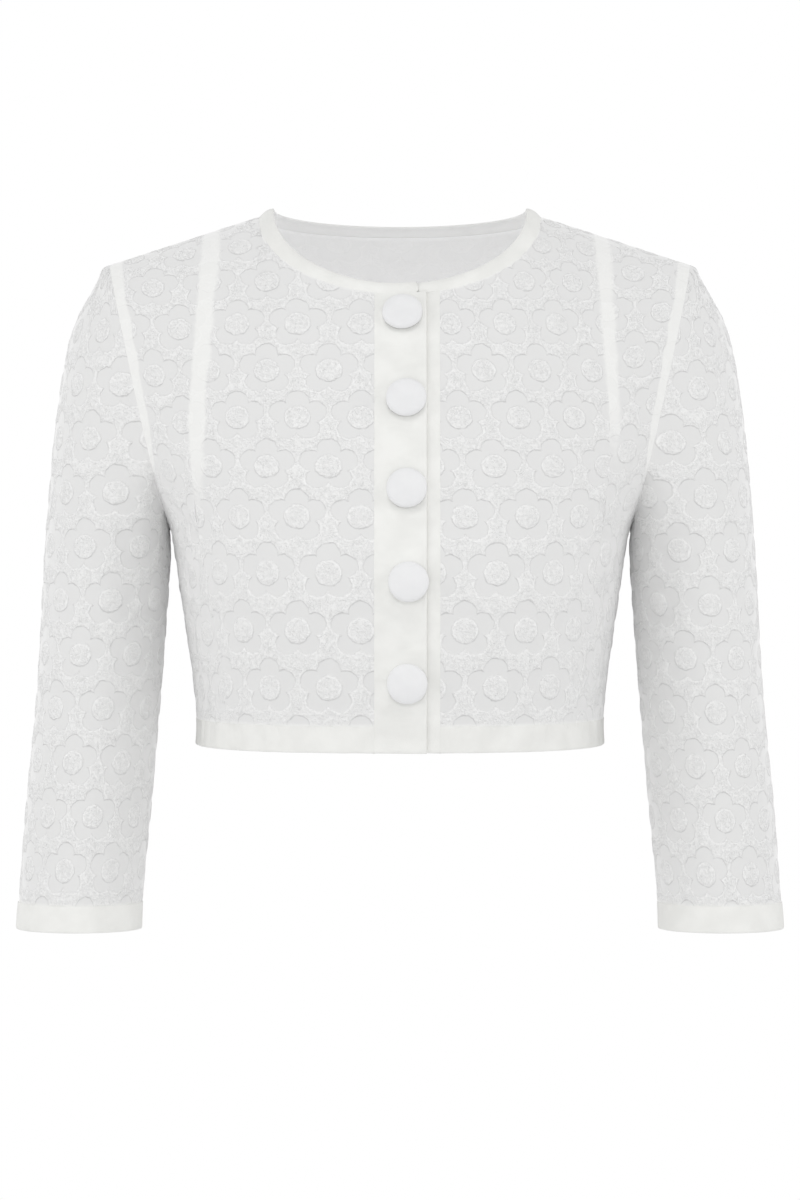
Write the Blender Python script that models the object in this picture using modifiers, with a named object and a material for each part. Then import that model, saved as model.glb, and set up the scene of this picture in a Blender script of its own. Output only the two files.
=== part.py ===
"""Cropped, round-necked cardigan with set-in sleeves, filled out as if worn and open inside.

Metres, +Z up. The front faces -Y and +X is the wearer's left. The origin lies between the shoulders, at
half the height of the shoulder seams, where the wearer carries the garment. Heights are given as drops,
measured down from the high shoulder point, which is the top of the shoulder seam beside the neck.
"""
import math
from collections import namedtuple

import bpy
import numpy as np
from mathutils import Matrix, Vector

# Frame
HIGH_SHOULDER_Z = 0.020
SEAM_PLANE_Y = 0.005

# Cloth walls and the gap that stands for a seam
CLOTH = 0.0012
DOUBLED_CLOTH = 0.0017
SEAM_GAP = 0.0003
HALF_GAP = SEAM_GAP / 2

# Neck: the finished edge, and the binding from there to its seam
NECK_HALF_WIDTH = 0.086
NECK_FRONT_DROP = 0.053
NECK_BACK_DROP = 0.011
BINDING_AT_SIDE = 0.0095
BINDING_AT_FRONT = 0.0075
BINDING_AT_BACK = 0.0075
BINDING_PROUD = 0.0006

# Shoulder seam: level under the neck opening, then falling evenly
SHOULDER_SLOPE = 0.324
SHOULDER_BREAK_X = 0.077
SHOULDER_BREAK_SOFTNESS = 0.008
SHOULDER_POINT_X = 0.1975

# Armhole, hem and cuff bands
UNDERARM_X = 0.1575
UNDERARM_DROP = 0.215
HEM_DROP = 0.365
HEM_WIDTH = 0.018
HEM_PROUD = 0.0005
CUFF_PROUD = 0.0010

# Button front: the right edge laps over the left one
PLACKET_SEAM_X = -0.017
PLACKET_EDGE_X = 0.0177
UNDERLAP_SEAM_X = 0.0265
UNDERLAP_EDGE_X = -0.008
BINDING_OVER_END_X = 0.0125
BINDING_UNDER_END_X = -0.004
LAP_LIFT = 0.0012
LAP_SINK = 0.0022
LAP_EASE = 0.0065
LAP_LANDING = 0.0015

# Covered buttons
BUTTON_RADIUS = 0.0134
BUTTON_HEIGHT = 0.0070
BUTTON_DOME_POWER = 2.7
BUTTON_RIM_HEIGHT = 0.0026
BUTTON_UNDERSIDE = 0.0012
BUTTON_UNDERSIDE_RADIUS = 0.0129
BUTTON_SHANK_RADIUS = 0.0042
BUTTON_SEAT = 0.00025
BUTTON_LEVEL_SPAN = 0.002

# Fullness: how fast the chest and the back come out below the shoulder seam
CHEST_REACH = 0.235
CHEST_POWER = 1.5
BLADE_REACH = 0.140
BLADE_POWER = 3.36

# Superellipse of the torso sections: its outer power grows with how square the section is
OUTER_POWER = 1.45
OUTER_POWER_PER_SQUARE = 0.25

# Mesh steps
ARMHOLE_STEPS = 11
SIDE_STEPS = 5
NECK_STEPS = 7
SHOULDER_STEPS = 3
SIDE_FRONT_STEPS = 5
BACK_SHOULDER_STEPS = 6
PLACKET_STEPS = 3
BINDING_STEPS = 2
HEM_STEPS = 2
BUTTON_STEPS = 24
BUTTON_DOME_STEPS = 6
FIRST_ROW_TURN = 0.09
NO_DEPTH = 1e-9

# Torso sections: half width and depth of the figure, and how square its front and back are.
# Above the underarm the half width runs on past the armhole, under the sleeve head.
TorsoRow = namedtuple("TorsoRow", "drop half_width front_depth back_depth front_square back_square")
TORSO = (
    TorsoRow(0.000, 0.2400, 0.155, 0.092, 2.2, 2.2),
    TorsoRow(0.080, 0.2300, 0.155, 0.092, 2.2, 2.2),
    TorsoRow(0.130, 0.2120, 0.155, 0.092, 2.2, 2.2),
    TorsoRow(0.165, 0.1920, 0.155, 0.092, 2.4, 2.3),
    TorsoRow(0.195, 0.1690, 0.155, 0.091, 2.8, 2.5),
    TorsoRow(0.215, 0.1575, 0.155, 0.090, 3.0, 2.6),
    TorsoRow(0.232, 0.1535, 0.155, 0.088, 3.0, 2.6),
    TorsoRow(0.255, 0.1502, 0.154, 0.085, 3.0, 2.6),
    TorsoRow(0.287, 0.1455, 0.149, 0.080, 2.9, 2.6),
    TorsoRow(0.328, 0.1400, 0.140, 0.074, 2.8, 2.6),
    TorsoRow(0.350, 0.1384, 0.135, 0.072, 2.7, 2.6),
    TorsoRow(0.370, 0.1394, 0.131, 0.072, 2.7, 2.6),
)

# Princess seam, from the shoulder seam over the fullest part of the chest to the hem
PrincessRow = namedtuple("PrincessRow", "drop x")
PRINCESS = (
    PrincessRow(0.0178, 0.1320),
    PrincessRow(0.085, 0.1360),
    PrincessRow(0.150, 0.1395),
    PrincessRow(0.212, 0.1350),
    PrincessRow(0.288, 0.1215),
    PrincessRow(0.370, 0.1125),
)

# Sleeve sections below the armhole: outer and inner point, half depth and depth of the middle.
# The first ones fan out over the sleeve head; settle says how far each has left the armhole's shape.
SleeveRow = namedtuple(
    "SleeveRow", "outer_x outer_drop inner_x inner_drop half_depth middle_y settle"
)
SLEEVE = (
    SleeveRow(0.2006, 0.0402, 0.1577, 0.2162, 0.0595, 0.000, 0.00),
    SleeveRow(0.2054, 0.0494, 0.1576, 0.2177, 0.0595, 0.000, 0.04),
    SleeveRow(0.2135, 0.0634, 0.1574, 0.2197, 0.0595, 0.000, 0.12),
    SleeveRow(0.2217, 0.0800, 0.1571, 0.2225, 0.0595, 0.001, 0.26),
    SleeveRow(0.2277, 0.1030, 0.1568, 0.2265, 0.0595, 0.001, 0.45),
    SleeveRow(0.2325, 0.1330, 0.1567, 0.2310, 0.0595, 0.002, 0.65),
    SleeveRow(0.2367, 0.1690, 0.1568, 0.2370, 0.0590, 0.002, 0.83),
    SleeveRow(0.2400, 0.2080, 0.1572, 0.2460, 0.0580, 0.002, 0.96),
    SleeveRow(0.2430, 0.2520, 0.1585, 0.2660, 0.0570, 0.001, 1.00),
    SleeveRow(0.2450, 0.2930, 0.1608, 0.2980, 0.0555, 0.000, 1.00),
    SleeveRow(0.2475, 0.3320, 0.1635, 0.3330, 0.0535, -0.002, 1.00),
    SleeveRow(0.2505, 0.3660, 0.1662, 0.3660, 0.0515, -0.005, 1.00),
    SleeveRow(0.2540, 0.4020, 0.1692, 0.4020, 0.0490, -0.009, 1.00),
    SleeveRow(0.2566, 0.4370, 0.1724, 0.4370, 0.0471, -0.013, 1.00),
    SleeveRow(0.2588, 0.4715, 0.1757, 0.4715, 0.0457, -0.017, 1.00),
)
CUFF = (
    SleeveRow(0.2588, 0.4718, 0.1757, 0.4718, 0.0457, -0.017, 1.00),
    SleeveRow(0.2596, 0.4807, 0.1760, 0.4807, 0.0455, -0.018, 1.00),
    SleeveRow(0.2600, 0.4895, 0.1762, 0.4895, 0.0454, -0.019, 1.00),
)

# Buttons from the neck down: places of their middles on the placket
ButtonRow = namedtuple("ButtonRow", "x drop")
BUTTONS = (
    ButtonRow(0.0017, 0.0745),
    ButtonRow(0.0042, 0.1310),
    ButtonRow(0.0045, 0.1900),
    ButtonRow(0.0057, 0.2510),
    ButtonRow(0.0049, 0.3180),
)

# Finishes: warm white doubled cloth, cooler single cloth, cool white buttons
Finish = namedtuple("Finish", "name colour roughness")
EMBROIDERED = Finish("embroidered_cloth", (0.80, 0.80, 0.81), 0.85)
DOUBLED = Finish("doubled_cloth", (0.86, 0.86, 0.83), 0.80)
COVERED = Finish("button_cloth", (0.84, 0.84, 0.87), 0.75)


def table_column(rows, column, drop):
    """Smooth curve through one column of a table that has a drop column."""
    knots = np.array([row.drop for row in rows])
    values = np.array([getattr(row, column) for row in rows])
    slopes = np.gradient(values, knots)
    left = np.clip(np.searchsorted(knots, drop) - 1, 0, len(knots) - 2)
    span = knots[left + 1] - knots[left]
    part = (drop - knots[left]) / span
    rise = values[left] * (1 + 2 * part) + slopes[left] * span * part
    fall = values[left + 1] * (3 - 2 * part) + slopes[left + 1] * span * (part - 1)
    return rise * (1 - part) ** 2 + fall * part**2


def ease(part):
    """Smooth step from 0 to 1 as part goes from 0 to 1."""
    part = np.clip(part, 0, 1)
    return part * part * (3 - 2 * part)


def ridge_drop(x):
    """Drop of the shoulder seam's line at a distance x from the middle."""
    beyond = (np.abs(x) - SHOULDER_BREAK_X) / SHOULDER_BREAK_SOFTNESS
    return SHOULDER_SLOPE * SHOULDER_BREAK_SOFTNESS * np.log1p(np.exp(beyond))


def armhole_x(drop):
    """Distance of the armhole seam from the middle: straight as seen from the front."""
    part = (drop - SHOULDER_POINT_DROP) / (UNDERARM_DROP - SHOULDER_POINT_DROP)
    return SHOULDER_POINT_X + (UNDERARM_X - SHOULDER_POINT_X) * part


SHOULDER_POINT_DROP = float(ridge_drop(SHOULDER_POINT_X))
HEM_SEAM_DROP = HEM_DROP - HEM_WIDTH


def half_width(drop):
    """Half width of the torso form at a drop."""
    return table_column(TORSO, "half_width", drop)


def turn_of(x, drop):
    """Turn round the torso, from 0 at the centre line to a quarter turn at the side seam."""
    return np.arcsin(np.clip(x / half_width(drop), -1, 1))


def torso_points(x, drop, front, below=None):
    """Points of the torso's outer face: a superellipse across, with a fullness that grows down the figure.

    The fullness goes by the distance below the shoulder seam's line, unless another distance is given.
    """
    x, drop = np.broadcast_arrays(np.asarray(x, float), np.asarray(drop, float))
    if below is None:
        below = np.maximum(drop - ridge_drop(x), 0)
    across = np.clip(np.abs(x) / half_width(drop), 0, 1)
    face = "front" if front else "back"
    square = table_column(TORSO, face + "_square", drop)
    depth = table_column(TORSO, face + "_depth", drop)
    reach, power = (CHEST_REACH, CHEST_POWER) if front else (BLADE_REACH, BLADE_POWER)
    fullness = np.sqrt(1 - (1 - np.minimum(below / reach, 1)) ** power)
    outer_power = OUTER_POWER + OUTER_POWER_PER_SQUARE * square
    roundness = (1 - across**square) ** (1 / outer_power)
    out = HALF_GAP + depth * fullness * roundness
    y = SEAM_PLANE_Y + (-out if front else out)
    return np.stack([x, y, HIGH_SHOULDER_Z - drop], axis=-1)


def patch(top, bottom, left, right, across, down):
    """Turns and drops inside four edges, each a list of (turn, drop), blended from all four."""
    u = across[None, :, None]
    v = down[:, None, None]
    sides = (1 - v) * top[None] + v * bottom[None] + (1 - u) * left[:, None] + u * right[:, None]
    corners = (1 - v) * ((1 - u) * top[0] + u * top[-1]) + v * ((1 - u) * bottom[0] + u * bottom[-1])
    return sides - corners


def torso_patch(top, bottom, left, right, down, front):
    """Points of the torso's outer face inside four edges, each a list of (x, drop)."""
    edges = [np.stack([turn_of(x, drop), drop], axis=-1) for x, drop in (top, bottom, left, right)]
    inside = patch(*edges, np.linspace(0, 1, len(edges[0])), down)
    drop = inside[..., 1]
    x = half_width(drop) * np.sin(inside[..., 0])
    return torso_points(x, drop, front)


def armhole_turns():
    """Turns of the armhole's points from shoulder to underarm, with one close to the shoulder seam."""
    even = np.linspace(0, np.pi, ARMHOLE_STEPS + 1)
    return np.insert(even, 1, FIRST_ROW_TURN)


def row_drops():
    """Drops of the panel rows at the armhole: round its arc to the underarm, then even to the hem seam."""
    armhole = (1 - np.cos(armhole_turns())) / 2
    upper = SHOULDER_POINT_DROP + (UNDERARM_DROP - SHOULDER_POINT_DROP) * armhole
    lower = np.linspace(UNDERARM_DROP, HEM_SEAM_DROP - HALF_GAP, SIDE_STEPS + 1)
    return np.concatenate([upper, lower[1:]])


def row_parts():
    """Share of the way down from shoulder to hem seam for each panel row."""
    drops = row_drops()
    return (drops - drops[0]) / (drops[-1] - drops[0])


def neck_seam(x, front, shift):
    """Drop of the binding's seam at x, moved off the neck by shift."""
    width = NECK_HALF_WIDTH + BINDING_AT_SIDE + shift
    start = ridge_drop(width)
    low = (NECK_FRONT_DROP + BINDING_AT_FRONT) if front else (NECK_BACK_DROP + BINDING_AT_BACK)
    return start + (low + shift - start) * np.sqrt(np.clip(1 - (x / width) ** 2, 0, 1))


def neck_shares(inner_x):
    """Shares of the neck's half width where panel and binding have points, from inner_x to the shoulder."""
    inner_turn = math.asin(inner_x / (NECK_HALF_WIDTH + BINDING_AT_SIDE))
    return np.sin(np.linspace(inner_turn, math.pi / 2, NECK_STEPS + 1))


def panel_top(inner_x, outer_x, front):
    """Top edge of a panel as (x, drop): along the binding's seam, then along the shoulder seam."""
    width = NECK_HALF_WIDTH + BINDING_AT_SIDE + HALF_GAP
    neck_x = width * neck_shares(inner_x)
    neck_x[0] = inner_x
    neck_drop = neck_seam(neck_x, front, HALF_GAP)
    steps = SHOULDER_STEPS if front else BACK_SHOULDER_STEPS
    shoulder_x = np.linspace(width, outer_x, steps + 1)[1:]
    return np.concatenate([neck_x, shoulder_x]), np.concatenate([neck_drop, ridge_drop(shoulder_x)])


def princess_edge(shift):
    """Princess seam as (x, drop) down the panel rows, moved sideways by shift."""
    start = PRINCESS[0].drop
    drop = start + (HEM_SEAM_DROP - HALF_GAP - start) * row_parts()
    x = table_column(PRINCESS, "x", drop) + shift
    drop[0] = ridge_drop(x[0])
    return x, drop


def side_edge():
    """Armhole and side seam as (x, drop) down the panel rows."""
    drop = row_drops()
    arm = np.minimum(armhole_x(drop), half_width(drop))
    return np.where(drop < UNDERARM_DROP, arm, half_width(drop)), drop


def level_edge(left, right, steps):
    """Edge as (x, drop) from the foot of one side edge to that of the other, even in turn."""
    drop = right[1][-1]
    turns = np.linspace(turn_of(left[0][-1], drop), turn_of(right[0][-1], drop), steps + 1)
    return half_width(drop) * np.sin(turns), np.full(steps + 1, drop)


def centre_front(edge_x):
    """Centre front panel of the wearer's left, from its placket seam to the princess seam."""
    parts = row_parts()
    right = princess_edge(-HALF_GAP)
    top = panel_top(edge_x, right[0][0], True)
    left_drop = top[1][0] + (HEM_SEAM_DROP - HALF_GAP - top[1][0]) * parts
    left = (np.full(len(parts), edge_x), left_drop)
    bottom = level_edge(left, right, len(top[0]) - 1)
    return torso_patch(top, bottom, left, right, parts, True)


def side_front():
    """Side front panel of the wearer's left, from the princess seam to armhole and side seam."""
    left = princess_edge(HALF_GAP)
    right = side_edge()
    top_x = np.linspace(left[0][0], right[0][0], SIDE_FRONT_STEPS + 1)
    top = (top_x, ridge_drop(top_x))
    bottom = level_edge(left, right, SIDE_FRONT_STEPS)
    return torso_patch(top, bottom, left, right, row_parts(), True)


def half_back():
    """Left half of the back, its columns running from armhole and side seam to the centre line."""
    parts = row_parts()
    right = side_edge()
    top = panel_top(0.0, right[0][0], False)
    left_drop = top[1][0] + (HEM_SEAM_DROP - HALF_GAP - top[1][0]) * parts
    left = (np.zeros(len(parts)), left_drop)
    bottom = level_edge(left, right, len(top[0]) - 1)
    return torso_patch(top, bottom, left, right, parts, False)[:, ::-1]


def normals(points, closed=False):
    """Outward directions of a grid whose rows run down and whose columns run anticlockwise from above."""
    if closed:
        points = np.concatenate([points[:, -1:], points, points[:, :1]], axis=1)
    down = np.gradient(points, axis=0)
    along = np.gradient(points, axis=1)
    out = np.cross(down, along)
    out /= np.linalg.norm(out, axis=-1, keepdims=True)
    return out[:, 1:-1] if closed else out


def moved_out(points, distance, closed=False):
    """The grid moved along its outward directions."""
    return points + normals(points, closed) * np.asarray(distance)[..., None]


def over_lift(x):
    """How far the right front edge rises to lap over the left one."""
    return LAP_LIFT * ease((x - PLACKET_SEAM_X) / (PLACKET_EDGE_X - PLACKET_SEAM_X))


def under_sink(x):
    """How far the left front edge sinks below the right one."""
    return -LAP_SINK * ease((UNDERLAP_SEAM_X - LAP_LANDING - x) / LAP_EASE)


def overlap_columns():
    """Distances from the middle where the right placket has its columns."""
    return np.linspace(PLACKET_SEAM_X + HALF_GAP, PLACKET_EDGE_X, PLACKET_STEPS + 1)


def underlap_columns():
    """Distances from the middle where the left placket has its columns: flat, easing out, then landing."""
    landing = UNDERLAP_SEAM_X - LAP_LANDING
    hidden = np.linspace(UNDERLAP_EDGE_X, landing - LAP_EASE, PLACKET_STEPS)
    return np.append(hidden, [landing - LAP_EASE / 2, landing, UNDERLAP_SEAM_X - HALF_GAP])


def placket(x, lap):
    """Front strip with columns at the distances x from the middle, moved out by lap."""
    top = neck_seam(x, True, HALF_GAP)
    drop = top + (HEM_DROP - top) * row_parts()[:, None]
    points = torso_points(np.broadcast_to(x, drop.shape), drop, True)
    return moved_out(points, lap(points[..., 0]))


def front_hem(edge_x):
    """Hem band of the wearer's left front, on the columns of its two panels."""
    seam = HEM_SEAM_DROP + HALF_GAP
    rows = []
    for drop in np.linspace(seam, HEM_DROP, HEM_STEPS + 1):
        princess_turn = turn_of(table_column(PRINCESS, "x", HEM_SEAM_DROP), drop)
        centre = np.linspace(turn_of(edge_x, drop), princess_turn, NECK_STEPS + SHOULDER_STEPS + 1)
        side = np.linspace(princess_turn, math.pi / 2, SIDE_FRONT_STEPS + 1)[1:]
        x = half_width(drop) * np.sin(np.concatenate([centre, side]))
        rows.append(torso_points(x, drop, True))
    return moved_out(np.array(rows), HEM_PROUD)


def half_back_hem():
    """Left half of the back's hem band, its columns running from the side seam to the centre line."""
    seam = HEM_SEAM_DROP + HALF_GAP
    turns = np.linspace(math.pi / 2, 0, NECK_STEPS + BACK_SHOULDER_STEPS + 1)
    rows = [
        torso_points(half_width(drop) * np.sin(turns), drop, False)
        for drop in np.linspace(seam, HEM_DROP, HEM_STEPS + 1)
    ]
    out = moved_out(np.array(rows), HEM_PROUD)
    out[:, -1, 0] = 0
    return out


def neck_section(share, front, lap):
    """One section of the binding at a share of the neck's half width, and how far it stands out.

    The edge stands a little above the shoulder seam's line, so its fullness goes by its own drop.
    """
    seam_width = NECK_HALF_WIDTH + BINDING_AT_SIDE - HALF_GAP
    depth = NECK_FRONT_DROP if front else NECK_BACK_DROP
    edge_x = NECK_HALF_WIDTH * share
    edge_drop = depth * math.sqrt(max(1 - share * share, 0))
    seam_x = seam_width * share
    seam_drop = float(neck_seam(seam_x, front, -HALF_GAP))
    seam_below = max(seam_drop - float(ridge_drop(seam_x)), 0)
    parts = np.linspace(0, 1, BINDING_STEPS + 1)
    points = torso_points(
        edge_x + (seam_x - edge_x) * parts,
        edge_drop + (seam_drop - edge_drop) * parts,
        front,
        edge_drop + (seam_below - edge_drop) * parts,
    )
    return points, np.full(len(parts), BINDING_PROUD + lap(seam_x))


def no_lap(x):
    """The back of the binding lies level with its neighbours."""
    return 0.0


def neck_binding():
    """Binding from its under end, round the left neck, the back and the right neck, to its over end."""
    seam_width = NECK_HALF_WIDTH + BINDING_AT_SIDE
    under = underlap_columns()[:-1]
    under = np.append(BINDING_UNDER_END_X, under[under > 0]) / seam_width
    over = overlap_columns()[1:-1]
    over = np.append(over, BINDING_OVER_END_X) / seam_width
    left = np.concatenate([under, neck_shares(UNDERLAP_SEAM_X)])
    right = np.concatenate([-neck_shares(-PLACKET_SEAM_X)[::-1], over])
    back = neck_shares(0.0)[::-1]
    back = np.concatenate([back[1:], -back[-2:0:-1]])
    sections = [neck_section(share, True, under_sink) for share in left]
    sections += [neck_section(share, False, no_lap) for share in back]
    sections += [neck_section(share, True, over_lift) for share in right]
    points = np.array([section[0] for section in sections]).transpose(1, 0, 2)
    proud = np.array([section[1] for section in sections]).transpose()
    return moved_out(points, proud)


def ring_turns():
    """Turns round a sleeve section, from the inner point over the front and the outer point to the back."""
    turns = armhole_turns()
    return np.concatenate([turns[:0:-1], -turns[:-1]])


def armhole_ring():
    """Armhole seam of the wearer's left as one closed section, one seam gap outside the panels."""
    turns = ring_turns()
    drop = SHOULDER_POINT_DROP + (UNDERARM_DROP - SHOULDER_POINT_DROP) * (1 - np.cos(turns)) / 2
    x = np.minimum(armhole_x(drop), half_width(drop))
    front = torso_points(x, drop, True)
    back = torso_points(x, drop, False)
    ring = np.where((turns >= 0)[:, None], front, back)
    seam = np.sin(turns) ** 2 < NO_DEPTH
    ring[seam, 1] = SEAM_PLANE_Y
    ring[:, 0] += SEAM_GAP
    return ring


def sleeve_ring(row, start):
    """Closed sleeve section: an ellipse on its outer and inner points, eased from the armhole's depth."""
    turns = ring_turns()
    part = (1 - np.cos(turns)) / 2
    x = row.outer_x + (row.inner_x - row.outer_x) * part
    drop = row.outer_drop + (row.inner_drop - row.outer_drop) * part
    y = row.middle_y - row.half_depth * np.sin(turns)
    y = start[:, 1] + (y - start[:, 1]) * row.settle
    return np.stack([x, y, HIGH_SHOULDER_Z - drop], axis=-1)


def sleeve():
    """Sleeve of the wearer's left: armhole ring, fanned sleeve head, then the forearm."""
    start = armhole_ring()
    return np.array([start] + [sleeve_ring(row, start) for row in SLEEVE])


def cuff():
    """Cuff band of the wearer's left sleeve."""
    start = armhole_ring()
    rings = np.array([sleeve_ring(row, start) for row in CUFF])
    return moved_out(rings, CUFF_PROUD, closed=True)


def mirrored(points):
    """The same grid on the wearer's right, with its columns turned round so that it still faces out."""
    return points[:, ::-1] * np.array([-1.0, 1.0, 1.0])


def make_material(finish):
    """Principled material of one finish."""
    material = bpy.data.materials.new(finish.name)
    material.use_nodes = True
    shader = material.node_tree.nodes["Principled BSDF"]
    shader.inputs["Base Color"].default_value = (*finish.colour, 1)
    shader.inputs["Roughness"].default_value = finish.roughness
    shader.inputs["Metallic"].default_value = 0
    return material


def add_object(name, mesh, finish):
    """Named object in the garment's collection, smooth shaded, in its finish."""
    mesh.materials.append(make_material(finish))
    mesh.shade_smooth()
    made = bpy.data.objects.new(name, mesh)
    garment.objects.link(made)
    return made


def add_cloth(name, points, thickness, finish, closed=False, halved=False):
    """Cloth wall: a loft through the rows of a grid, given its thickness on the inside."""
    rows, columns = points.shape[:2]
    spans = columns if closed else columns - 1
    faces = []
    for row in range(rows - 1):
        for column in range(spans):
            after = (column + 1) % columns
            upper = row * columns
            lower = upper + columns
            faces.append((upper + column, lower + column, lower + after, upper + after))
    mesh = bpy.data.meshes.new(name)
    mesh.from_pydata(points.reshape(-1, 3).tolist(), [], faces)
    cloth = add_object(name, mesh, finish)
    if halved:
        mirror = cloth.modifiers.new("other_half", "MIRROR")
        mirror.use_axis = (True, False, False)
        mirror.merge_threshold = 0.0001
    wall = cloth.modifiers.new("wall", "SOLIDIFY")
    wall.thickness = thickness
    wall.offset = -1
    return cloth


def button_profile():
    """Half section of a covered button, from the top of the dome to the middle of the shank's foot."""
    dome = BUTTON_HEIGHT - BUTTON_RIM_HEIGHT
    turns = np.linspace(0, math.pi / 2, BUTTON_DOME_STEPS + 1)
    radii = BUTTON_RADIUS * np.sin(turns) ** (2 / BUTTON_DOME_POWER)
    heights = BUTTON_RIM_HEIGHT + dome * np.abs(np.cos(turns)) ** (2 / BUTTON_DOME_POWER)
    points = list(zip(radii.tolist(), heights.tolist()))
    points.append((BUTTON_UNDERSIDE_RADIUS, BUTTON_UNDERSIDE))
    points.append((BUTTON_SHANK_RADIUS, BUTTON_UNDERSIDE))
    points.append((BUTTON_SHANK_RADIUS, 0.0))
    points.append((0.0, 0.0))
    return [(radius, 0.0, height) for radius, height in points]


def placket_seat(row):
    """Point on the placket's face under a button, and the direction that the button faces."""
    span = BUTTON_LEVEL_SPAN * np.array([-1.0, 0.0, 1.0])
    x = row.x + span
    drop = row.drop + span
    grid_x, grid_drop = np.meshgrid(x, drop)
    points = torso_points(grid_x, grid_drop, True)
    points = moved_out(points, over_lift(grid_x))
    return Vector(points[1, 1]), Vector(normals(points)[1, 1])


def add_button(name, row):
    """Covered button turned from its half section, standing square on the placket."""
    profile = button_profile()
    mesh = bpy.data.meshes.new(name)
    mesh.from_pydata(profile, [(i, i + 1) for i in range(len(profile) - 1)], [])
    button = add_object(name, mesh, COVERED)
    turn = button.modifiers.new("turned", "SCREW")
    turn.axis = "Z"
    turn.steps = BUTTON_STEPS
    turn.render_steps = BUTTON_STEPS
    turn.use_merge_vertices = True
    turn.merge_threshold = 0.0001
    seat, facing = placket_seat(row)
    upright = facing.to_track_quat("Z", "Y").to_matrix().to_4x4()
    button.matrix_world = Matrix.Translation(seat + facing * BUTTON_SEAT) @ upright
    return button


def add_torso():
    """Centre fronts, side fronts and back."""
    right_front = mirrored(centre_front(-PLACKET_SEAM_X + HALF_GAP))
    add_cloth("front_right", right_front, CLOTH, EMBROIDERED)
    add_cloth("front_left", centre_front(UNDERLAP_SEAM_X + HALF_GAP), CLOTH, EMBROIDERED)
    add_cloth("side_front_right", mirrored(side_front()), CLOTH, EMBROIDERED)
    add_cloth("side_front_left", side_front(), CLOTH, EMBROIDERED)
    add_cloth("back", half_back(), CLOTH, EMBROIDERED, halved=True)


def add_sleeves():
    """Sleeves and their cuff bands."""
    add_cloth("sleeve_right", mirrored(sleeve()), CLOTH, EMBROIDERED, closed=True)
    add_cloth("sleeve_left", sleeve(), CLOTH, EMBROIDERED, closed=True)
    add_cloth("cuff_right", mirrored(cuff()), DOUBLED_CLOTH, DOUBLED, closed=True)
    add_cloth("cuff_left", cuff(), DOUBLED_CLOTH, DOUBLED, closed=True)


def add_bands():
    """Neck binding, button front strips and hem bands."""
    add_cloth("neck_binding", neck_binding(), DOUBLED_CLOTH, DOUBLED)
    over = placket(overlap_columns(), over_lift)
    under = placket(underlap_columns(), under_sink)
    add_cloth("placket_right", over, DOUBLED_CLOTH, DOUBLED)
    add_cloth("placket_left", under, DOUBLED_CLOTH, DOUBLED)
    right_hem = mirrored(front_hem(-PLACKET_SEAM_X + HALF_GAP))
    add_cloth("hem_right", right_hem, DOUBLED_CLOTH, DOUBLED)
    add_cloth("hem_left", front_hem(UNDERLAP_SEAM_X + HALF_GAP), DOUBLED_CLOTH, DOUBLED)
    add_cloth("hem_back", half_back_hem(), DOUBLED_CLOTH, DOUBLED, halved=True)


def add_buttons():
    """The row of covered buttons."""
    for number, row in enumerate(BUTTONS, start=1):
        add_button(f"button_{number}", row)


for old in list(bpy.data.objects):
    bpy.data.objects.remove(old)
garment = bpy.data.collections.new("cropped_cardigan")
bpy.context.scene.collection.children.link(garment)
add_torso()
add_sleeves()
add_bands()
add_buttons()
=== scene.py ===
"""Cropped cardigan of embroidered cloth: its panels, bands and covered buttons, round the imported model.

Metres, +Z up. The front faces -Y and +X is the wearer's left. A drop is a distance down from the high
shoulder point, the top of the shoulder seam beside the neck. A grid's rows run down the garment and its
columns run anticlockwise seen from above, so that its faces point outwards.
"""
import logging
import math
from dataclasses import dataclass, replace
from enum import Enum
from typing import Callable, NamedTuple, Sequence, Union

import bpy
import numpy as np
from bpy.types import Material, Mesh, Node, NodeSocket as Socket, NodeTree, Object
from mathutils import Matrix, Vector


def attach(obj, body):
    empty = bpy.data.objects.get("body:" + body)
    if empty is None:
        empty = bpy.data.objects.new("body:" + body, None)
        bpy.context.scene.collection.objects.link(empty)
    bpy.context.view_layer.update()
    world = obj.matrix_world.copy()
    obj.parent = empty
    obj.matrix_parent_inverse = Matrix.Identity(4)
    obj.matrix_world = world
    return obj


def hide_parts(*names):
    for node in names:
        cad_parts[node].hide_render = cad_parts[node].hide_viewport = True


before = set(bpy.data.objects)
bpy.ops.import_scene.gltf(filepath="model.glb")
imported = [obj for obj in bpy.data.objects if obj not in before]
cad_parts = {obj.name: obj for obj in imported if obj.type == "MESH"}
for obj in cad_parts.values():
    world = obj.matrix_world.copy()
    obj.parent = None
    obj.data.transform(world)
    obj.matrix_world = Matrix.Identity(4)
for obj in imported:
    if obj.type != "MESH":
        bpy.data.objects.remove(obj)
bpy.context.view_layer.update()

FLAT_LAYER = "flat_cut"
ALLOWANCE_LAYER = "allowance"
SQUEEZE_LAYER = "flower_squeeze"
ROOT_BODY = "root"
RIM_ANGLE = math.radians(50)

Array = np.ndarray
Pair = tuple[float, float]
Triple = tuple[float, float, float]
Colour = Triple
Wire = Union[Socket, float, tuple]

log = logging.getLogger("cardigan")


class Face(Enum):
    """The two faces of the torso."""

    FRONT = "front"
    BACK = "back"


class Slot(Enum):
    """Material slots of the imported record."""

    EMBROIDERED = "embroidered_cloth"
    DOUBLED = "doubled_cloth"
    BUTTON = "button_cloth"


class Held(Enum):
    """How a cut piece of cloth is carried."""

    HUNG = "hung"
    FOLDED = "folded"


class MixKind(Enum):
    """Kinds of value a Mix node blends, each with its sockets: first input, second input, output."""

    VECTOR = (4, 5, 1)
    RGBA = (6, 7, 2)


class TorsoRow(NamedTuple):
    """One level section of the torso."""

    drop: float
    half_width: float
    front_depth: float
    back_depth: float
    front_square: float
    back_square: float


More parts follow.
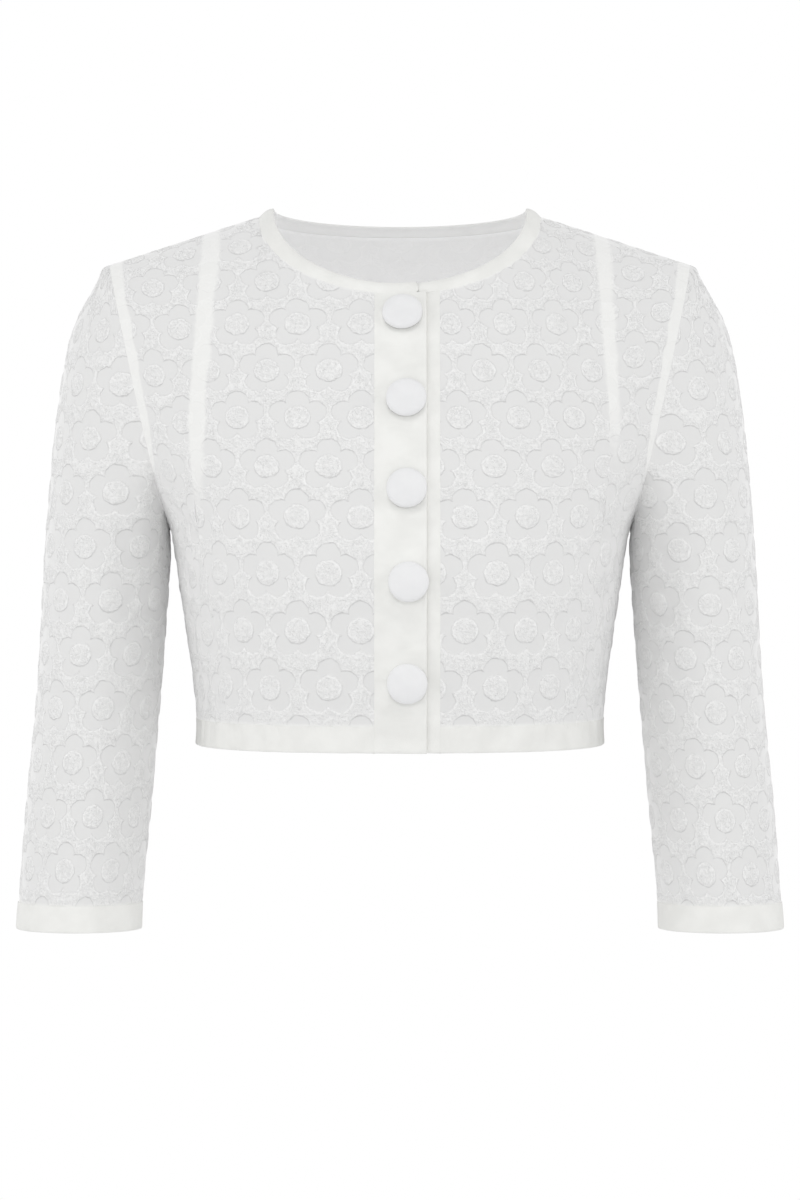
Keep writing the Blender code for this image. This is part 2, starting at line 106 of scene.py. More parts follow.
class PrincessRow(NamedTuple):
    """One point of the princess seam."""

    drop: float
    x: float


class SleeveRow(NamedTuple):
    """One section of the sleeve, by its outer and inner points."""

    outer_x: float
    outer_drop: float
    inner_x: float
    inner_drop: float
    half_depth: float
    middle_y: float
    settle: float


class ArmRow(NamedTuple):
    """One point of the line down the middle of the arm."""

    drop: float
    x: float
    y: float


class FlowerRow(NamedTuple):
    """One row of flowers on a front: its height above the hem seam, its fan and its flowers' squeeze."""

    up: float
    fan: float
    squeeze: float


class ButtonPlace(NamedTuple):
    """Middle of one button on the placket."""

    x: float
    drop: float


TORSO = tuple(TorsoRow(*row) for row in (
    (0.000, 0.2400, 0.155, 0.092, 2.2, 2.2),
    (0.080, 0.2300, 0.155, 0.092, 2.2, 2.2),
    (0.130, 0.2120, 0.155, 0.092, 2.2, 2.2),
    (0.165, 0.1920, 0.155, 0.092, 2.4, 2.3),
    (0.195, 0.1690, 0.155, 0.091, 2.8, 2.5),
    (0.215, 0.1575, 0.155, 0.090, 3.0, 2.6),
    (0.232, 0.1535, 0.155, 0.088, 3.0, 2.6),
    (0.255, 0.1502, 0.154, 0.085, 3.0, 2.6),
    (0.287, 0.1455, 0.149, 0.080, 2.9, 2.6),
    (0.328, 0.1400, 0.140, 0.074, 2.8, 2.6),
    (0.350, 0.1384, 0.135, 0.072, 2.7, 2.6),
    (0.370, 0.1394, 0.131, 0.072, 2.7, 2.6),
))
PRINCESS = tuple(PrincessRow(*row) for row in (
    (0.0178, 0.1320),
    (0.085, 0.1360),
    (0.150, 0.1395),
    (0.212, 0.1350),
    (0.288, 0.1215),
    (0.370, 0.1125),
))
SLEEVE = tuple(SleeveRow(*row) for row in (
    (0.2006, 0.0402, 0.1577, 0.2162, 0.0595, 0.000, 0.00),
    (0.2054, 0.0494, 0.1576, 0.2177, 0.0595, 0.000, 0.04),
    (0.2135, 0.0634, 0.1574, 0.2197, 0.0595, 0.000, 0.12),
    (0.2217, 0.0800, 0.1571, 0.2225, 0.0595, 0.001, 0.26),
    (0.2277, 0.1030, 0.1568, 0.2265, 0.0595, 0.001, 0.45),
    (0.2325, 0.1330, 0.1567, 0.2310, 0.0595, 0.002, 0.65),
    (0.2367, 0.1690, 0.1568, 0.2370, 0.0590, 0.002, 0.83),
    (0.2400, 0.2080, 0.1572, 0.2460, 0.0580, 0.002, 0.96),
    (0.2430, 0.2520, 0.1585, 0.2660, 0.0570, 0.001, 1.00),
    (0.2450, 0.2930, 0.1608, 0.2980, 0.0555, 0.000, 1.00),
    (0.2475, 0.3320, 0.1635, 0.3330, 0.0535, -0.002, 1.00),
    (0.2505, 0.3660, 0.1662, 0.3660, 0.0515, -0.005, 1.00),
    (0.2540, 0.4020, 0.1692, 0.4020, 0.0490, -0.009, 1.00),
    (0.2566, 0.4370, 0.1724, 0.4370, 0.0471, -0.013, 1.00),
    (0.2588, 0.4715, 0.1757, 0.4715, 0.0457, -0.017, 1.00),
))
CUFF = tuple(SleeveRow(*row) for row in (
    (0.2588, 0.4715, 0.1757, 0.4715, 0.0457, -0.017, 1.00),
    (0.2596, 0.4807, 0.1760, 0.4807, 0.0455, -0.018, 1.00),
    (0.2600, 0.4895, 0.1762, 0.4895, 0.0454, -0.019, 1.00),
))
ARM_LINE = tuple(ArmRow(*row) for row in (
    (0.030, 0.1890, 0.003),
    (0.100, 0.1930, 0.002),
    (0.200, 0.1985, 0.002),
    (0.270, 0.2015, 0.001),
    (0.333, 0.2055, -0.002),
    (0.402, 0.2116, -0.009),
    (0.4715, 0.2173, -0.017),
))
FLOWER_ROWS = tuple(FlowerRow(*row) for row in (
    (-0.0127, 1.00, 1.07),
    (0.0264, 1.00, 1.07),
    (0.0655, 1.00, 1.07),
    (0.1039, 1.00, 1.06),
    (0.1412, 1.00, 1.04),
    (0.1749, 1.02, 1.02),
    (0.2088, 1.06, 1.00),
    (0.2425, 1.11, 0.99),
    (0.2775, 1.17, 0.99),
    (0.3120, 1.22, 1.00),
    (0.3470, 1.26, 1.00),
    (0.3820, 1.30, 1.00),
))
BUTTON_PLACES = tuple(ButtonPlace(*row) for row in (
    (0.0017, 0.0745),
    (0.0042, 0.1310),
    (0.0045, 0.1900),
    (0.0057, 0.2510),
    (0.0049, 0.3180),
))


def smooth_through(knots: Array, values: Array, at: Array) -> Array:
    """Curve of cubic pieces through given points, with the slopes of their neighbours.

    Args:
        knots: where the points are, rising.
        values: the values there.
        at: where the curve is read.

    Returns:
        The curve's values.
    """
    slopes = np.gradient(values, knots)
    left = np.clip(np.searchsorted(knots, at) - 1, 0, len(knots) - 2)
    span = knots[left + 1] - knots[left]
    part = (at - knots[left]) / span
    rise = values[left] * (1 + 2 * part) + slopes[left] * span * part
    fall = values[left + 1] * (3 - 2 * part) + slopes[left + 1] * span * (part - 1)
    return rise * (1 - part) ** 2 + fall * part**2


def column(rows: Sequence, name: str) -> Array:
    """One named column of a table."""
    return np.array([getattr(row, name) for row in rows])


def table_column(rows: Sequence, name: str, drop: Array) -> Array:
    """Smooth curve through one column of a table that has a drop column."""
    return smooth_through(column(rows, "drop"), column(rows, name), drop)


def ease(part: Array) -> Array:
    """Smooth step from 0 to 1 as part goes from 0 to 1."""
    part = np.clip(part, 0, 1)
    return part * part * (3 - 2 * part)


def blend(first: Array, second: Array, part: Array) -> Array:
    """Straight blend from first to second."""
    return first + (second - first) * part


def waver(turn: Array, drift: float, slow_turn: Array) -> Array:
    """Uneven wave: the sine of a turn that drifts with the sine of a slower one."""
    return np.sin(turn + drift * np.sin(slow_turn))


def lengths_along(points: Array, axis: int) -> Array:
    """Distance run along one axis of a grid of points, from its start.

    Args:
        points: the points, with x, y and z on the last axis.
        axis: the axis that is walked along.

    Returns:
        The running distances, zero at the start.
    """
    steps = np.linalg.norm(np.diff(points, axis=axis), axis=-1)
    start = np.zeros_like(np.take(steps, [0], axis=axis))
    return np.concatenate([start, np.cumsum(steps, axis=axis)], axis=axis)


def evenly(points: Array, values: Array, count: int) -> Array:
    """Values along a line, read again at even distances.

    Args:
        points: close points of the line.
        values: values at these points, one row each.
        count: the number of even steps.

    Returns:
        The values at the count + 1 new places.
    """
    run = lengths_along(points, 0)
    at = np.linspace(0, run[-1], count + 1)
    return np.stack([np.interp(at, run, value) for value in values.T], axis=-1)


@dataclass(frozen=True)
class Crease:
    """A soft trough with a lower ridge beside it, from start to end in a piece's own places."""

    start: Pair
    end: Pair
    depth: float
    width: float
    bend: float = 0.0

    RIDGE_SHARE = 0.6
    RIDGE_OFFSET = 1.9
    RIDGE_WIDTH = 1.3
    TAPER = 0.42

    def press(self, flat: Array, to_flat: Callable[[float, float], Array]) -> Array:
        """Height that the crease gives to each point of a cloth.

        A bell-shaped trough across a line that bows sideways, less a wider bell beside it, times a taper
        to nothing at both ends.

        Args:
            flat: flat places of the points.
            to_flat: turns a place of the piece into a flat place.

        Returns:
            Heights in metres, negative in the trough.
        """
        start = to_flat(*self.start)
        line = to_flat(*self.end) - start
        length = np.linalg.norm(line)
        line = line / length
        away = flat - start
        along = (away @ line) / length
        aside = away[..., 0] * line[1] - away[..., 1] * line[0]
        aside = aside - self.bend * length * (1 - (2 * np.clip(along, 0, 1) - 1) ** 2)
        trough = np.exp(-((aside / self.width) ** 2))
        ridge = np.exp(-(((aside - self.RIDGE_OFFSET * self.width) / (self.RIDGE_WIDTH * self.width)) ** 2))
        taper = ease(along / self.TAPER) * ease((1 - along) / self.TAPER)
        return self.depth * taper * (self.RIDGE_SHARE * ridge - trough)


@dataclass
class ClothGrid:
    """One face of a piece of cloth as a grid, with its flat places and its share of seam allowance.

    A wrapped grid is a tube: its last column lies on its first. The flowers' heights are divided by squeeze.
    """

    points: Array
    flat: Array
    allowance: Array
    wrapped: bool = False
    squeeze: Union[Array, None] = None

    def __post_init__(self) -> None:
        """Where nothing else is given, the flowers keep their full height."""
        if self.squeeze is None:
            self.squeeze = np.ones(self.points.shape[:2])

    def normals(self) -> Array:
        """Outward directions: the cross product of the steps down and along the grid.

        Returns:
            A unit direction for each point.
        """
        points = self.points
        if self.wrapped:
            points = np.concatenate([points[:, -2:-1], points, points[:, 1:2]], axis=1)
        out = np.cross(np.gradient(points, axis=0), np.gradient(points, axis=1))
        out /= np.linalg.norm(out, axis=-1, keepdims=True)
        return out[:, 1:-1] if self.wrapped else out

    def moved_out(self, distance: Union[Array, float]) -> "ClothGrid":
        """The same cloth moved along its outward directions."""
        distance = np.broadcast_to(distance, self.points.shape[:2])[..., None]
        return replace(self, points=self.points + self.normals() * distance)

    def mirrored(self) -> "ClothGrid":
        """The same cloth on the wearer's other side, with its columns turned round so that it faces out."""
        points = self.points[:, ::-1] * np.array([-1.0, 1.0, 1.0])
        flat = self.flat[:, ::-1] * np.array([-1.0, 1.0])
        return ClothGrid(points, flat, self.allowance[:, ::-1], self.wrapped)

    def joined(self, other: "ClothGrid") -> "ClothGrid":
        """This cloth with another that goes on from its last column."""
        return ClothGrid(
            np.concatenate([self.points, other.points[:, 1:]], axis=1),
            np.concatenate([self.flat, other.flat[:, 1:]], axis=1),
            np.concatenate([self.allowance, other.allowance[:, 1:]], axis=1),
        )

    def from_edges(self) -> tuple[Array, Array, Array, Array]:
        """Distances of each point from the top, bottom, first and last edges, along the grid."""
        down = lengths_along(self.points, 0)
        along = lengths_along(self.points, 1)
        return down, down[-1:] - down, along, along[:, -1:] - along

    def area(self) -> float:
        """Area of the cloth, as the sum of its quads.

        Returns:
            Square metres.
        """
        down = np.diff(self.points, axis=0)
        along = np.diff(self.points, axis=1)
        upper = np.cross(down[:, :-1], along[:-1])
        lower = np.cross(down[:, 1:], along[1:])
        return float((np.linalg.norm(upper, axis=-1) + np.linalg.norm(lower, axis=-1)).sum() / 2)

    def cut_size(self) -> Pair:
        """Width and length of the flat cut."""
        low = self.flat.min(axis=(0, 1))
        high = self.flat.max(axis=(0, 1))
        return float(high[0] - low[0]), float(high[1] - low[1])


def quads(grid: Array) -> Array:
    """The four corners of every cell of a grid of numbers, outward."""
    cells = [grid[:-1, :-1], grid[1:, :-1], grid[1:, 1:], grid[:-1, 1:]]
    return np.stack([cell.ravel() for cell in cells], axis=-1)


def shell_mesh(name: str, outer: ClothGrid, inner: Array) -> Mesh:
    """Closed thin shell between an outer and an inner grid, with a rim of quads along its open edges.

    The outer faces use the first material and the inner faces the second.

    Args:
        name: the mesh's name.
        outer: the outer face.
        inner: the points of the inner face.

    Returns:
        The mesh, with its flat places as a UV layer, and its allowance and squeeze as attributes.
    """
    rows, columns = outer.points.shape[:2]
    kept = columns - 1 if outer.wrapped else columns
    number = np.arange(rows)[:, None] * kept + np.arange(columns)[None] % kept
    corner = np.arange(rows * columns).reshape(rows, columns)
    below = rows * kept

    def rim(line: Array, other: Array) -> Array:
        """Quads between a line of corners on one face and the same line on the other."""
        return np.stack([line[:-1], line[1:], other[1:], other[:-1]], axis=-1)

    edges = [(number[0], corner[0]), (number[-1][::-1], corner[-1][::-1])]
    if not outer.wrapped:
        edges += [(number[:, 0][::-1], corner[:, 0][::-1]), (number[:, -1], corner[:, -1])]
    outer_faces = quads(number)
    inner_faces = quads(number)[:, ::-1] + below
    rim_faces = np.concatenate([rim(line, line + below) for line, _ in edges])
    faces = np.concatenate([outer_faces, rim_faces, inner_faces])
    rim_corners = np.concatenate([rim(line, line) for _, line in edges])
    corners = np.concatenate([quads(corner), rim_corners, quads(corner)[:, ::-1]])
    points = np.concatenate([outer.points[:, :kept].reshape(-1, 3), inner[:, :kept].reshape(-1, 3)])

    mesh = bpy.data.meshes.new(name)
    mesh.vertices.add(len(points))
    mesh.vertices.foreach_set("co", points.ravel())
    mesh.loops.add(faces.size)
    mesh.loops.foreach_set("vertex_index", faces.ravel())
    mesh.polygons.add(len(faces))
    mesh.polygons.foreach_set("loop_start", np.arange(0, faces.size, 4))
    sides = np.repeat([0, 1], [len(outer_faces) + len(rim_faces), len(inner_faces)])
    mesh.update(calc_edges=True)
    mesh.validate()
    mesh.polygons.foreach_set("material_index", sides)
    mesh.shade_smooth()
    mesh.set_sharp_from_angle(angle=RIM_ANGLE)
    flat_layer = mesh.uv_layers.new(name=FLAT_LAYER)
    flat_layer.data.foreach_set("uv", outer.flat.reshape(-1, 2)[corners.ravel()].ravel())
    for layer, values in ((ALLOWANCE_LAYER, outer.allowance), (SQUEEZE_LAYER, outer.squeeze)):
        attribute = mesh.attributes.new(layer, "FLOAT", "POINT")
        attribute.data.foreach_set("value", np.tile(values[:, :kept].ravel(), 2))
    return mesh


@dataclass(frozen=True)
class TorsoForm:
    """The torso that the cloth is cut for: level superellipses whose fullness grows below the shoulder."""

    high_shoulder_z: float = 0.020
    seam_plane_y: float = 0.005
    neck_half_width: float = 0.086
    neck_front_drop: float = 0.053
    neck_back_drop: float = 0.011
    binding_at_side: float = 0.0095
    binding_at_front: float = 0.0075
    binding_at_back: float = 0.0075
    shoulder_slope: float = 0.324
    shoulder_break_x: float = 0.077
    shoulder_break_softness: float = 0.008
    shoulder_point_x: float = 0.1975
    underarm_x: float = 0.1575
    underarm_drop: float = 0.215
    hem_drop: float = 0.365
    hem_width: float = 0.018
    chest_reach: float = 0.235
    chest_power: float = 1.5
    blade_reach: float = 0.140
    blade_power: float = 3.36
    outer_power: float = 1.45
    outer_power_per_square: float = 0.25

    @property
    def hem_seam_drop(self) -> float:
        """Drop of the seam between panels and hem band."""
        return self.hem_drop - self.hem_width

    @property
    def shoulder_point_drop(self) -> float:
        """Drop of the shoulder seam's outer end."""
        return float(self.ridge_drop(self.shoulder_point_x))

    def ridge_drop(self, x: Array) -> Array:
        """Drop of the shoulder seam's line at x: level under the neck, then falling evenly."""
        beyond = (np.abs(x) - self.shoulder_break_x) / self.shoulder_break_softness
        return self.shoulder_slope * self.shoulder_break_softness * np.log1p(np.exp(beyond))

    def armhole_x(self, drop: Array) -> Array:
        """Distance of the armhole seam from the middle: straight as seen from the front."""
        start = self.shoulder_point_drop
        part = (drop - start) / (self.underarm_drop - start)
        return blend(self.shoulder_point_x, self.underarm_x, part)

    def half_width(self, drop: Array) -> Array:
        """Half width of the torso at a drop."""
        return table_column(TORSO, "half_width", drop)

    def turn_of(self, x: Array, drop: Array) -> Array:
        """Turn round the torso, from 0 at the centre line to a quarter turn at the side seam."""
        return np.arcsin(np.clip(x / self.half_width(drop), -1, 1))

    def points(self, x: Array, drop: Array, face: Face, below: Union[Array, None] = None) -> Array:
        """Points of the torso: a superellipse across, times a fullness that grows down the figure.

        Args:
            x: distances from the middle.
            drop: drops of the points.
            face: front or back.
            below: distance that the fullness goes by, if not the one below the shoulder seam's line.

        Returns:
            The points.
        """
        x, drop = np.broadcast_arrays(np.asarray(x, float), np.asarray(drop, float))
        if below is None:
            below = np.maximum(drop - self.ridge_drop(x), 0)
        across = np.clip(np.abs(x) / self.half_width(drop), 0, 1)
        square = table_column(TORSO, face.value + "_square", drop)
        depth = table_column(TORSO, face.value + "_depth", drop)
        front = face is Face.FRONT
        reach = self.chest_reach if front else self.blade_reach
        power = self.chest_power if front else self.blade_power
        fullness = np.sqrt(1 - (1 - np.minimum(below / reach, 1)) ** power)
        roundness = (1 - across**square) ** (1 / (self.outer_power + self.outer_power_per_square * square))
        out = depth * fullness * roundness
        y = self.seam_plane_y + (-out if front else out)
        return np.stack([x, y, self.high_shoulder_z - drop], axis=-1)

    def neck_seam(self, x: Array, face: Face) -> Array:
        """Drop of the binding's seam at x: a quarter ellipse from the shoulder to the centre line.

        Args:
            x: distances from the middle.
            face: front or back.

        Returns:
            The drops.
        """
        width = self.neck_half_width + self.binding_at_side
        start = self.ridge_drop(width)
        if face is Face.FRONT:
            low = self.neck_front_drop + self.binding_at_front
        else:
            low = self.neck_back_drop + self.binding_at_back
        return start + (low - start) * np.sqrt(np.clip(1 - (x / width) ** 2, 0, 1))


class FlatMap:
    """Flat places on one face of the torso: length across from the centre line and up from the hem seam.

    Both lengths are summed over a regular table of turns and drops, and read between its entries. Below
    the shoulder the length up is that of the centre line, so rows are level; above, it is the surface's own.
    """

    LEVELS = 220
    TURNS = 120
    SHOULDER_DROP = 0.080

    def __init__(self, form: TorsoForm, face: Face) -> None:
        """Sums the lengths.

        Args:
            form: the torso.
            face: front or back.
        """
        self.form = form
        self.deepest = form.hem_drop
        drop = np.linspace(0, self.deepest, self.LEVELS + 1)[:, None]
        turn = np.linspace(0, np.pi / 2, self.TURNS + 1)[None]
        points = form.points(form.half_width(drop) * np.sin(turn), drop + 0 * turn, face)
        down = lengths_along(points, 0)
        shoulder = round(self.SHOULDER_DROP / self.deepest * self.LEVELS)
        centre = down[:, :1]
        above = np.arange(self.LEVELS + 1)[:, None] < shoulder
        level = np.where(above, centre[shoulder] - (down[shoulder] - down), centre)
        seam_level = np.array([form.hem_seam_drop / self.deepest * self.LEVELS])
        self.across = lengths_along(points, 1)
        self.up = self.read(level, seam_level, np.zeros(1)) - level

    @staticmethod
    def read(table: Array, level: Array, turn: Array) -> Array:
        """Entry of a table at a level and a turn that may lie between its rows and columns.

        Args:
            table: rows of numbers.
            level: places down, in rows.
            turn: places along, in columns.

        Returns:
            The entries, blended from the four around each place.
        """
        row = np.clip(level.astype(int), 0, table.shape[0] - 2)
        place = np.clip(turn.astype(int), 0, table.shape[1] - 2)
        down = level - row
        along = turn - place
        upper = blend(table[row, place], table[row, place + 1], along)
        lower = blend(table[row + 1, place], table[row + 1, place + 1], along)
        return blend(upper, lower, down)

    def place(self, x: Array, drop: Array) -> Array:
        """Flat places of points of the torso given by x, which may be negative, and drop.

        Args:
            x: distances from the middle.
            drop: drops of the points.

        Returns:
            Lengths across and up.
        """
        x, drop = np.broadcast_arrays(np.asarray(x, float), np.asarray(drop, float))
        turn = np.abs(self.form.turn_of(x, drop)) / (np.pi / 2) * self.TURNS
        level = drop / self.deepest * self.LEVELS
        across = np.sign(x) * self.read(self.across, level, turn)
        return np.stack([across, self.read(self.up, level, turn)], axis=-1)


@dataclass(frozen=True)
class FlowerRepeat:
    """All-over repeat of five-petalled flowers in rows, each row moved along by half a flower.

    A flower is five round lobes about a middle disc. Its petals lie low, the web between the flowers and
    the disc stand up, and small rosettes fill the gaps above and under each flower.
    """

    pitch: float = 0.0425
    row: float = 0.0380
    lobes: int = 5
    lobe_reach: float = 0.0121
    lobe_radius: float = 0.0080
    lobe_lift: float = 0.0010
    disc_radius: float = 0.0090
    rosette_shifts: tuple[float, ...] = (0.0250, -0.0285)
    rosette_radius: float = 0.0052
    rosette_arms: int = 6
    web_height: float = 0.00040
    disc_height: float = 0.00034
    disc_crown: float = 0.00030
    rosette_height: float = 0.00036
    crinkle_height: float = 0.00010
    crinkle_length: float = 0.0061
    step_width: float = 0.0026
    line_width: float = 0.0011
    # painted shadow: a petal's strip within this distance under the web or the disc is painted darker, as
    # shade from a light above
    painted_shadow: float = 0.0006

    ROSETTE_STEEPNESS = 1.3
    CRINKLE_DRIFTS = ((1.7, 0.37), (1.3, 0.41))
    CRINKLE_STRETCH = 0.9
    STAR_ARMS = (0.15, 0.5)
    STAR_DOME = (1.0, 0.3)
    STAR_DEPTH = 0.33
    # corded line faded in towards each flower's lower side: a painted highlight on the petals' lower edges
    CORD_PAINTED_HIGHLIGHT_FADE = (0.55, -0.25)
    # disc's rim faded out at its foot: painted shade
    RIM_PAINTED_SHADE_FADE = (-0.85, -0.25)

    def nearest(self, flat: Array, shift: float = 0.0) -> Array:
        """Offset of each flat place from the nearest flower's middle, or from a point shift below it.

        Args:
            flat: flat places.
            shift: distance of the point below the middle.

        Returns:
            The offsets, across and up.
        """
        cell = np.array([self.pitch, 2 * self.row])
        share = (flat + np.array([0.0, shift])) / cell
        straight = (share - np.round(share)) * cell
        between = (share - 0.5 - np.round(share - 0.5)) * cell
        nearer = np.linalg.norm(straight, axis=-1) < np.linalg.norm(between, axis=-1)
        return np.where(nearer[..., None], straight, between)

    def lobe_distance(self, offset: Array) -> Array:
        """Distance outside the nearest lobe, from the offset folded into one lobe's sector.

        Args:
            offset: offsets from a flower's middle.

        Returns:
            Distances, negative inside a lobe.
        """
        offset = offset - np.array([0.0, self.lobe_lift])
        reach = np.linalg.norm(offset, axis=-1)
        turn = np.arctan2(offset[..., 0], offset[..., 1])
        sector = 2 * np.pi / self.lobes
        folded = turn - sector * np.round(turn / sector)
        square = reach**2 + self.lobe_reach**2 - 2 * reach * self.lobe_reach * np.cos(folded)
        return np.sqrt(np.maximum(square, 0)) - self.lobe_radius

    def relief(self, flat: Array, squeeze: Array) -> Array:
        """Height of the embroidery: the web's step, the crowned disc, the rosettes and a crinkle.

        Args:
            flat: flat places.
            squeeze: what the flowers' heights are divided by.

        Returns:
            Heights in metres above the petals.
        """
        offset = self.nearest(flat) * np.stack([np.ones_like(squeeze), squeeze], axis=-1)
        reach = np.linalg.norm(offset, axis=-1)
        web = ease(self.lobe_distance(offset) / self.step_width + 0.5)
        disc = ease((self.disc_radius - reach) / self.step_width + 0.5)
        crown = np.sqrt(np.clip(1 - (reach / self.disc_radius) ** 2, 0, 1))
        near = [np.linalg.norm(self.nearest(flat, shift), axis=-1) for shift in self.rosette_shifts]
        rosette = ease(self.ROSETTE_STEEPNESS * (1 - np.minimum.reduce(near) / self.rosette_radius))
        along, up = np.moveaxis(flat * (2 * np.pi / self.crinkle_length), -1, 0)
        (drift, slow), (up_drift, up_slow) = self.CRINKLE_DRIFTS
        crinkle = waver(along, drift, slow * up)
        crinkle = crinkle * waver(self.CRINKLE_STRETCH * up, up_drift, up_slow * along)
        ground = self.web_height * web + self.rosette_height * rosette + self.crinkle_height * crinkle * web
        return blend(ground, self.disc_height + self.disc_crown * crown, disc)

    def nearest_nodes(self, graph: "Graph", place: Socket, shift: float = 0.0) -> Socket:
        """The same offset as in nearest, made of nodes.

        Args:
            graph: where the nodes go.
            place: flat places.
            shift: distance of the point below the middle.

        Returns:
            The offsets, as a vector socket.
        """
        cell = (self.pitch, 2 * self.row, 1.0)
        half = (0.5, 0.5, 0.0)
        share = graph.vector("DIVIDE", graph.vector("ADD", place, (0.0, shift, 0.0)), cell)
        straight = graph.vector("FRACTION", graph.vector("ADD", share, half))
        straight = graph.vector("MULTIPLY", graph.vector("SUBTRACT", straight, half), cell)
        between = graph.vector("SUBTRACT", graph.vector("FRACTION", share), half)
        between = graph.vector("MULTIPLY", between, cell)
        nearer = graph.math("LESS_THAN", graph.length(straight), graph.length(between))
        return graph.mix(MixKind.VECTOR, nearer, between, straight)

    def lobe_nodes(self, graph: "Graph", offset: Socket) -> Socket:
        """The same distance as in lobe_distance, made of nodes.

        Args:
            graph: where the nodes go.
            offset: offsets from a flower's middle.

        Returns:
            The distances.
        """
        offset = graph.vector("SUBTRACT", offset, (0.0, self.lobe_lift, 0.0))
        reach = graph.length(offset)
        half_sector = math.pi / self.lobes
        folded = graph.math("WRAP", graph.math("ARCTAN2", *graph.split(offset)), half_sector, -half_sector)
        product = graph.times(reach, graph.math("COSINE", folded))
        square = graph.math("MULTIPLY_ADD", reach, reach, self.lobe_reach**2)
        square = graph.math("MULTIPLY_ADD", product, -2 * self.lobe_reach, square)
        return graph.math("SUBTRACT", graph.math("SQRT", square), self.lobe_radius)

    def star_nodes(self, graph: "Graph", offset: Socket) -> Socket:
        """Mask of a rosette from the offset from its middle: a dome with a star's arms towards its edge.

        Args:
            graph: where the nodes go.
            offset: offsets from a rosette's middle.

        Returns:
            The mask.
        """
        reach = graph.length(offset)
        turn = graph.math("ARCTAN2", *graph.split(offset))
        arms = graph.math("COSINE", graph.times(turn, float(self.rosette_arms)))
        outer, dome = (
            graph.span(reach, start * self.rosette_radius, end * self.rosette_radius)
            for start, end in (self.STAR_ARMS, self.STAR_DOME)
        )
        arms = graph.times(graph.math("SUBTRACT", arms, 1.0), outer)
        return graph.times(dome, graph.math("MULTIPLY_ADD", arms, self.STAR_DEPTH, 1.0))

    def line_nodes(self, graph: "Graph", distance: Socket, middle: float) -> Socket:
        """Mask of a stitched line about a distance."""
        away = graph.math("ABSOLUTE", graph.math("SUBTRACT", distance, middle))
        return graph.span(away, self.line_width, 0.0)

    def node_group(self) -> NodeTree:
        """Node group from flat places to the masks of the repeat.

        Returns:
            The group, with outputs for the petals, the corded line under them, kept only along the petals'
            lower edges as a painted highlight, the disc's rim, left open at its foot as painted shade, the
            rosettes, whose mask has the arms of a star, and the painted shadow, the strip of each petal that
            lies close under the web or the disc.
        """
        inputs = {"Place": "NodeSocketVector", "Squeeze": "NodeSocketFloat"}
        outputs = ("Petal", "Cord", "Disc Rim", "Rosette", "Painted Shadow")
        graph, source, out = new_group("flower_repeat", inputs, outputs)
        place = source.outputs["Place"]
        scale = graph.add("ShaderNodeCombineXYZ")
        for socket, value in zip(scale.inputs, (1.0, source.outputs["Squeeze"], 1.0)):
            graph.feed(socket, value)
        offset = graph.vector("MULTIPLY", self.nearest_nodes(graph, place), scale.outputs[0])
        reach = graph.length(offset)
        rise = graph.math("DIVIDE", graph.split(offset)[1], reach)
        outside = self.lobe_nodes(graph, offset)
        narrow = self.line_width / 2
        disc_edge = (self.disc_radius + narrow, self.disc_radius - narrow)
        disc = graph.span(reach, *disc_edge)
        not_disc = graph.math("SUBTRACT", 1.0, disc)
        petal = graph.times(graph.span(outside, narrow, -narrow), not_disc)
        cord_and_highlight = graph.times(self.line_nodes(graph, outside, self.line_width), not_disc)
        rim = self.line_nodes(graph, reach, self.disc_radius - self.line_width)
        middles = [self.nearest_nodes(graph, place, shift) for shift in self.rosette_shifts]
        # Painted shadow: the petal points whose point a little higher up lies on the web or the disc,
        # darkened as shade from a light above.
        above = graph.vector("ADD", offset, (0.0, self.painted_shadow, 0.0))
        web_above = graph.span(self.lobe_nodes(graph, above), -narrow, narrow)
        disc_above = graph.span(graph.length(above), *disc_edge)
        masks = {
            "Petal": petal,
            "Painted Shadow": graph.times(petal, graph.math("MAXIMUM", web_above, disc_above)),
            # painted highlight: the corded line kept only along the petals' lower edges
            "Cord": graph.times(cord_and_highlight, graph.span(rise, *self.CORD_PAINTED_HIGHLIGHT_FADE)),
            # the rim's light thread, left out at the disc's foot as painted shade
            "Disc Rim": graph.times(rim, graph.span(rise, *self.RIM_PAINTED_SHADE_FADE)),
            "Rosette": graph.math("MAXIMUM", *(self.star_nodes(graph, middle) for middle in middles)),
        }
        for name, mask in masks.items():
            graph.feed(out.inputs[name], mask)
        return graph.tree


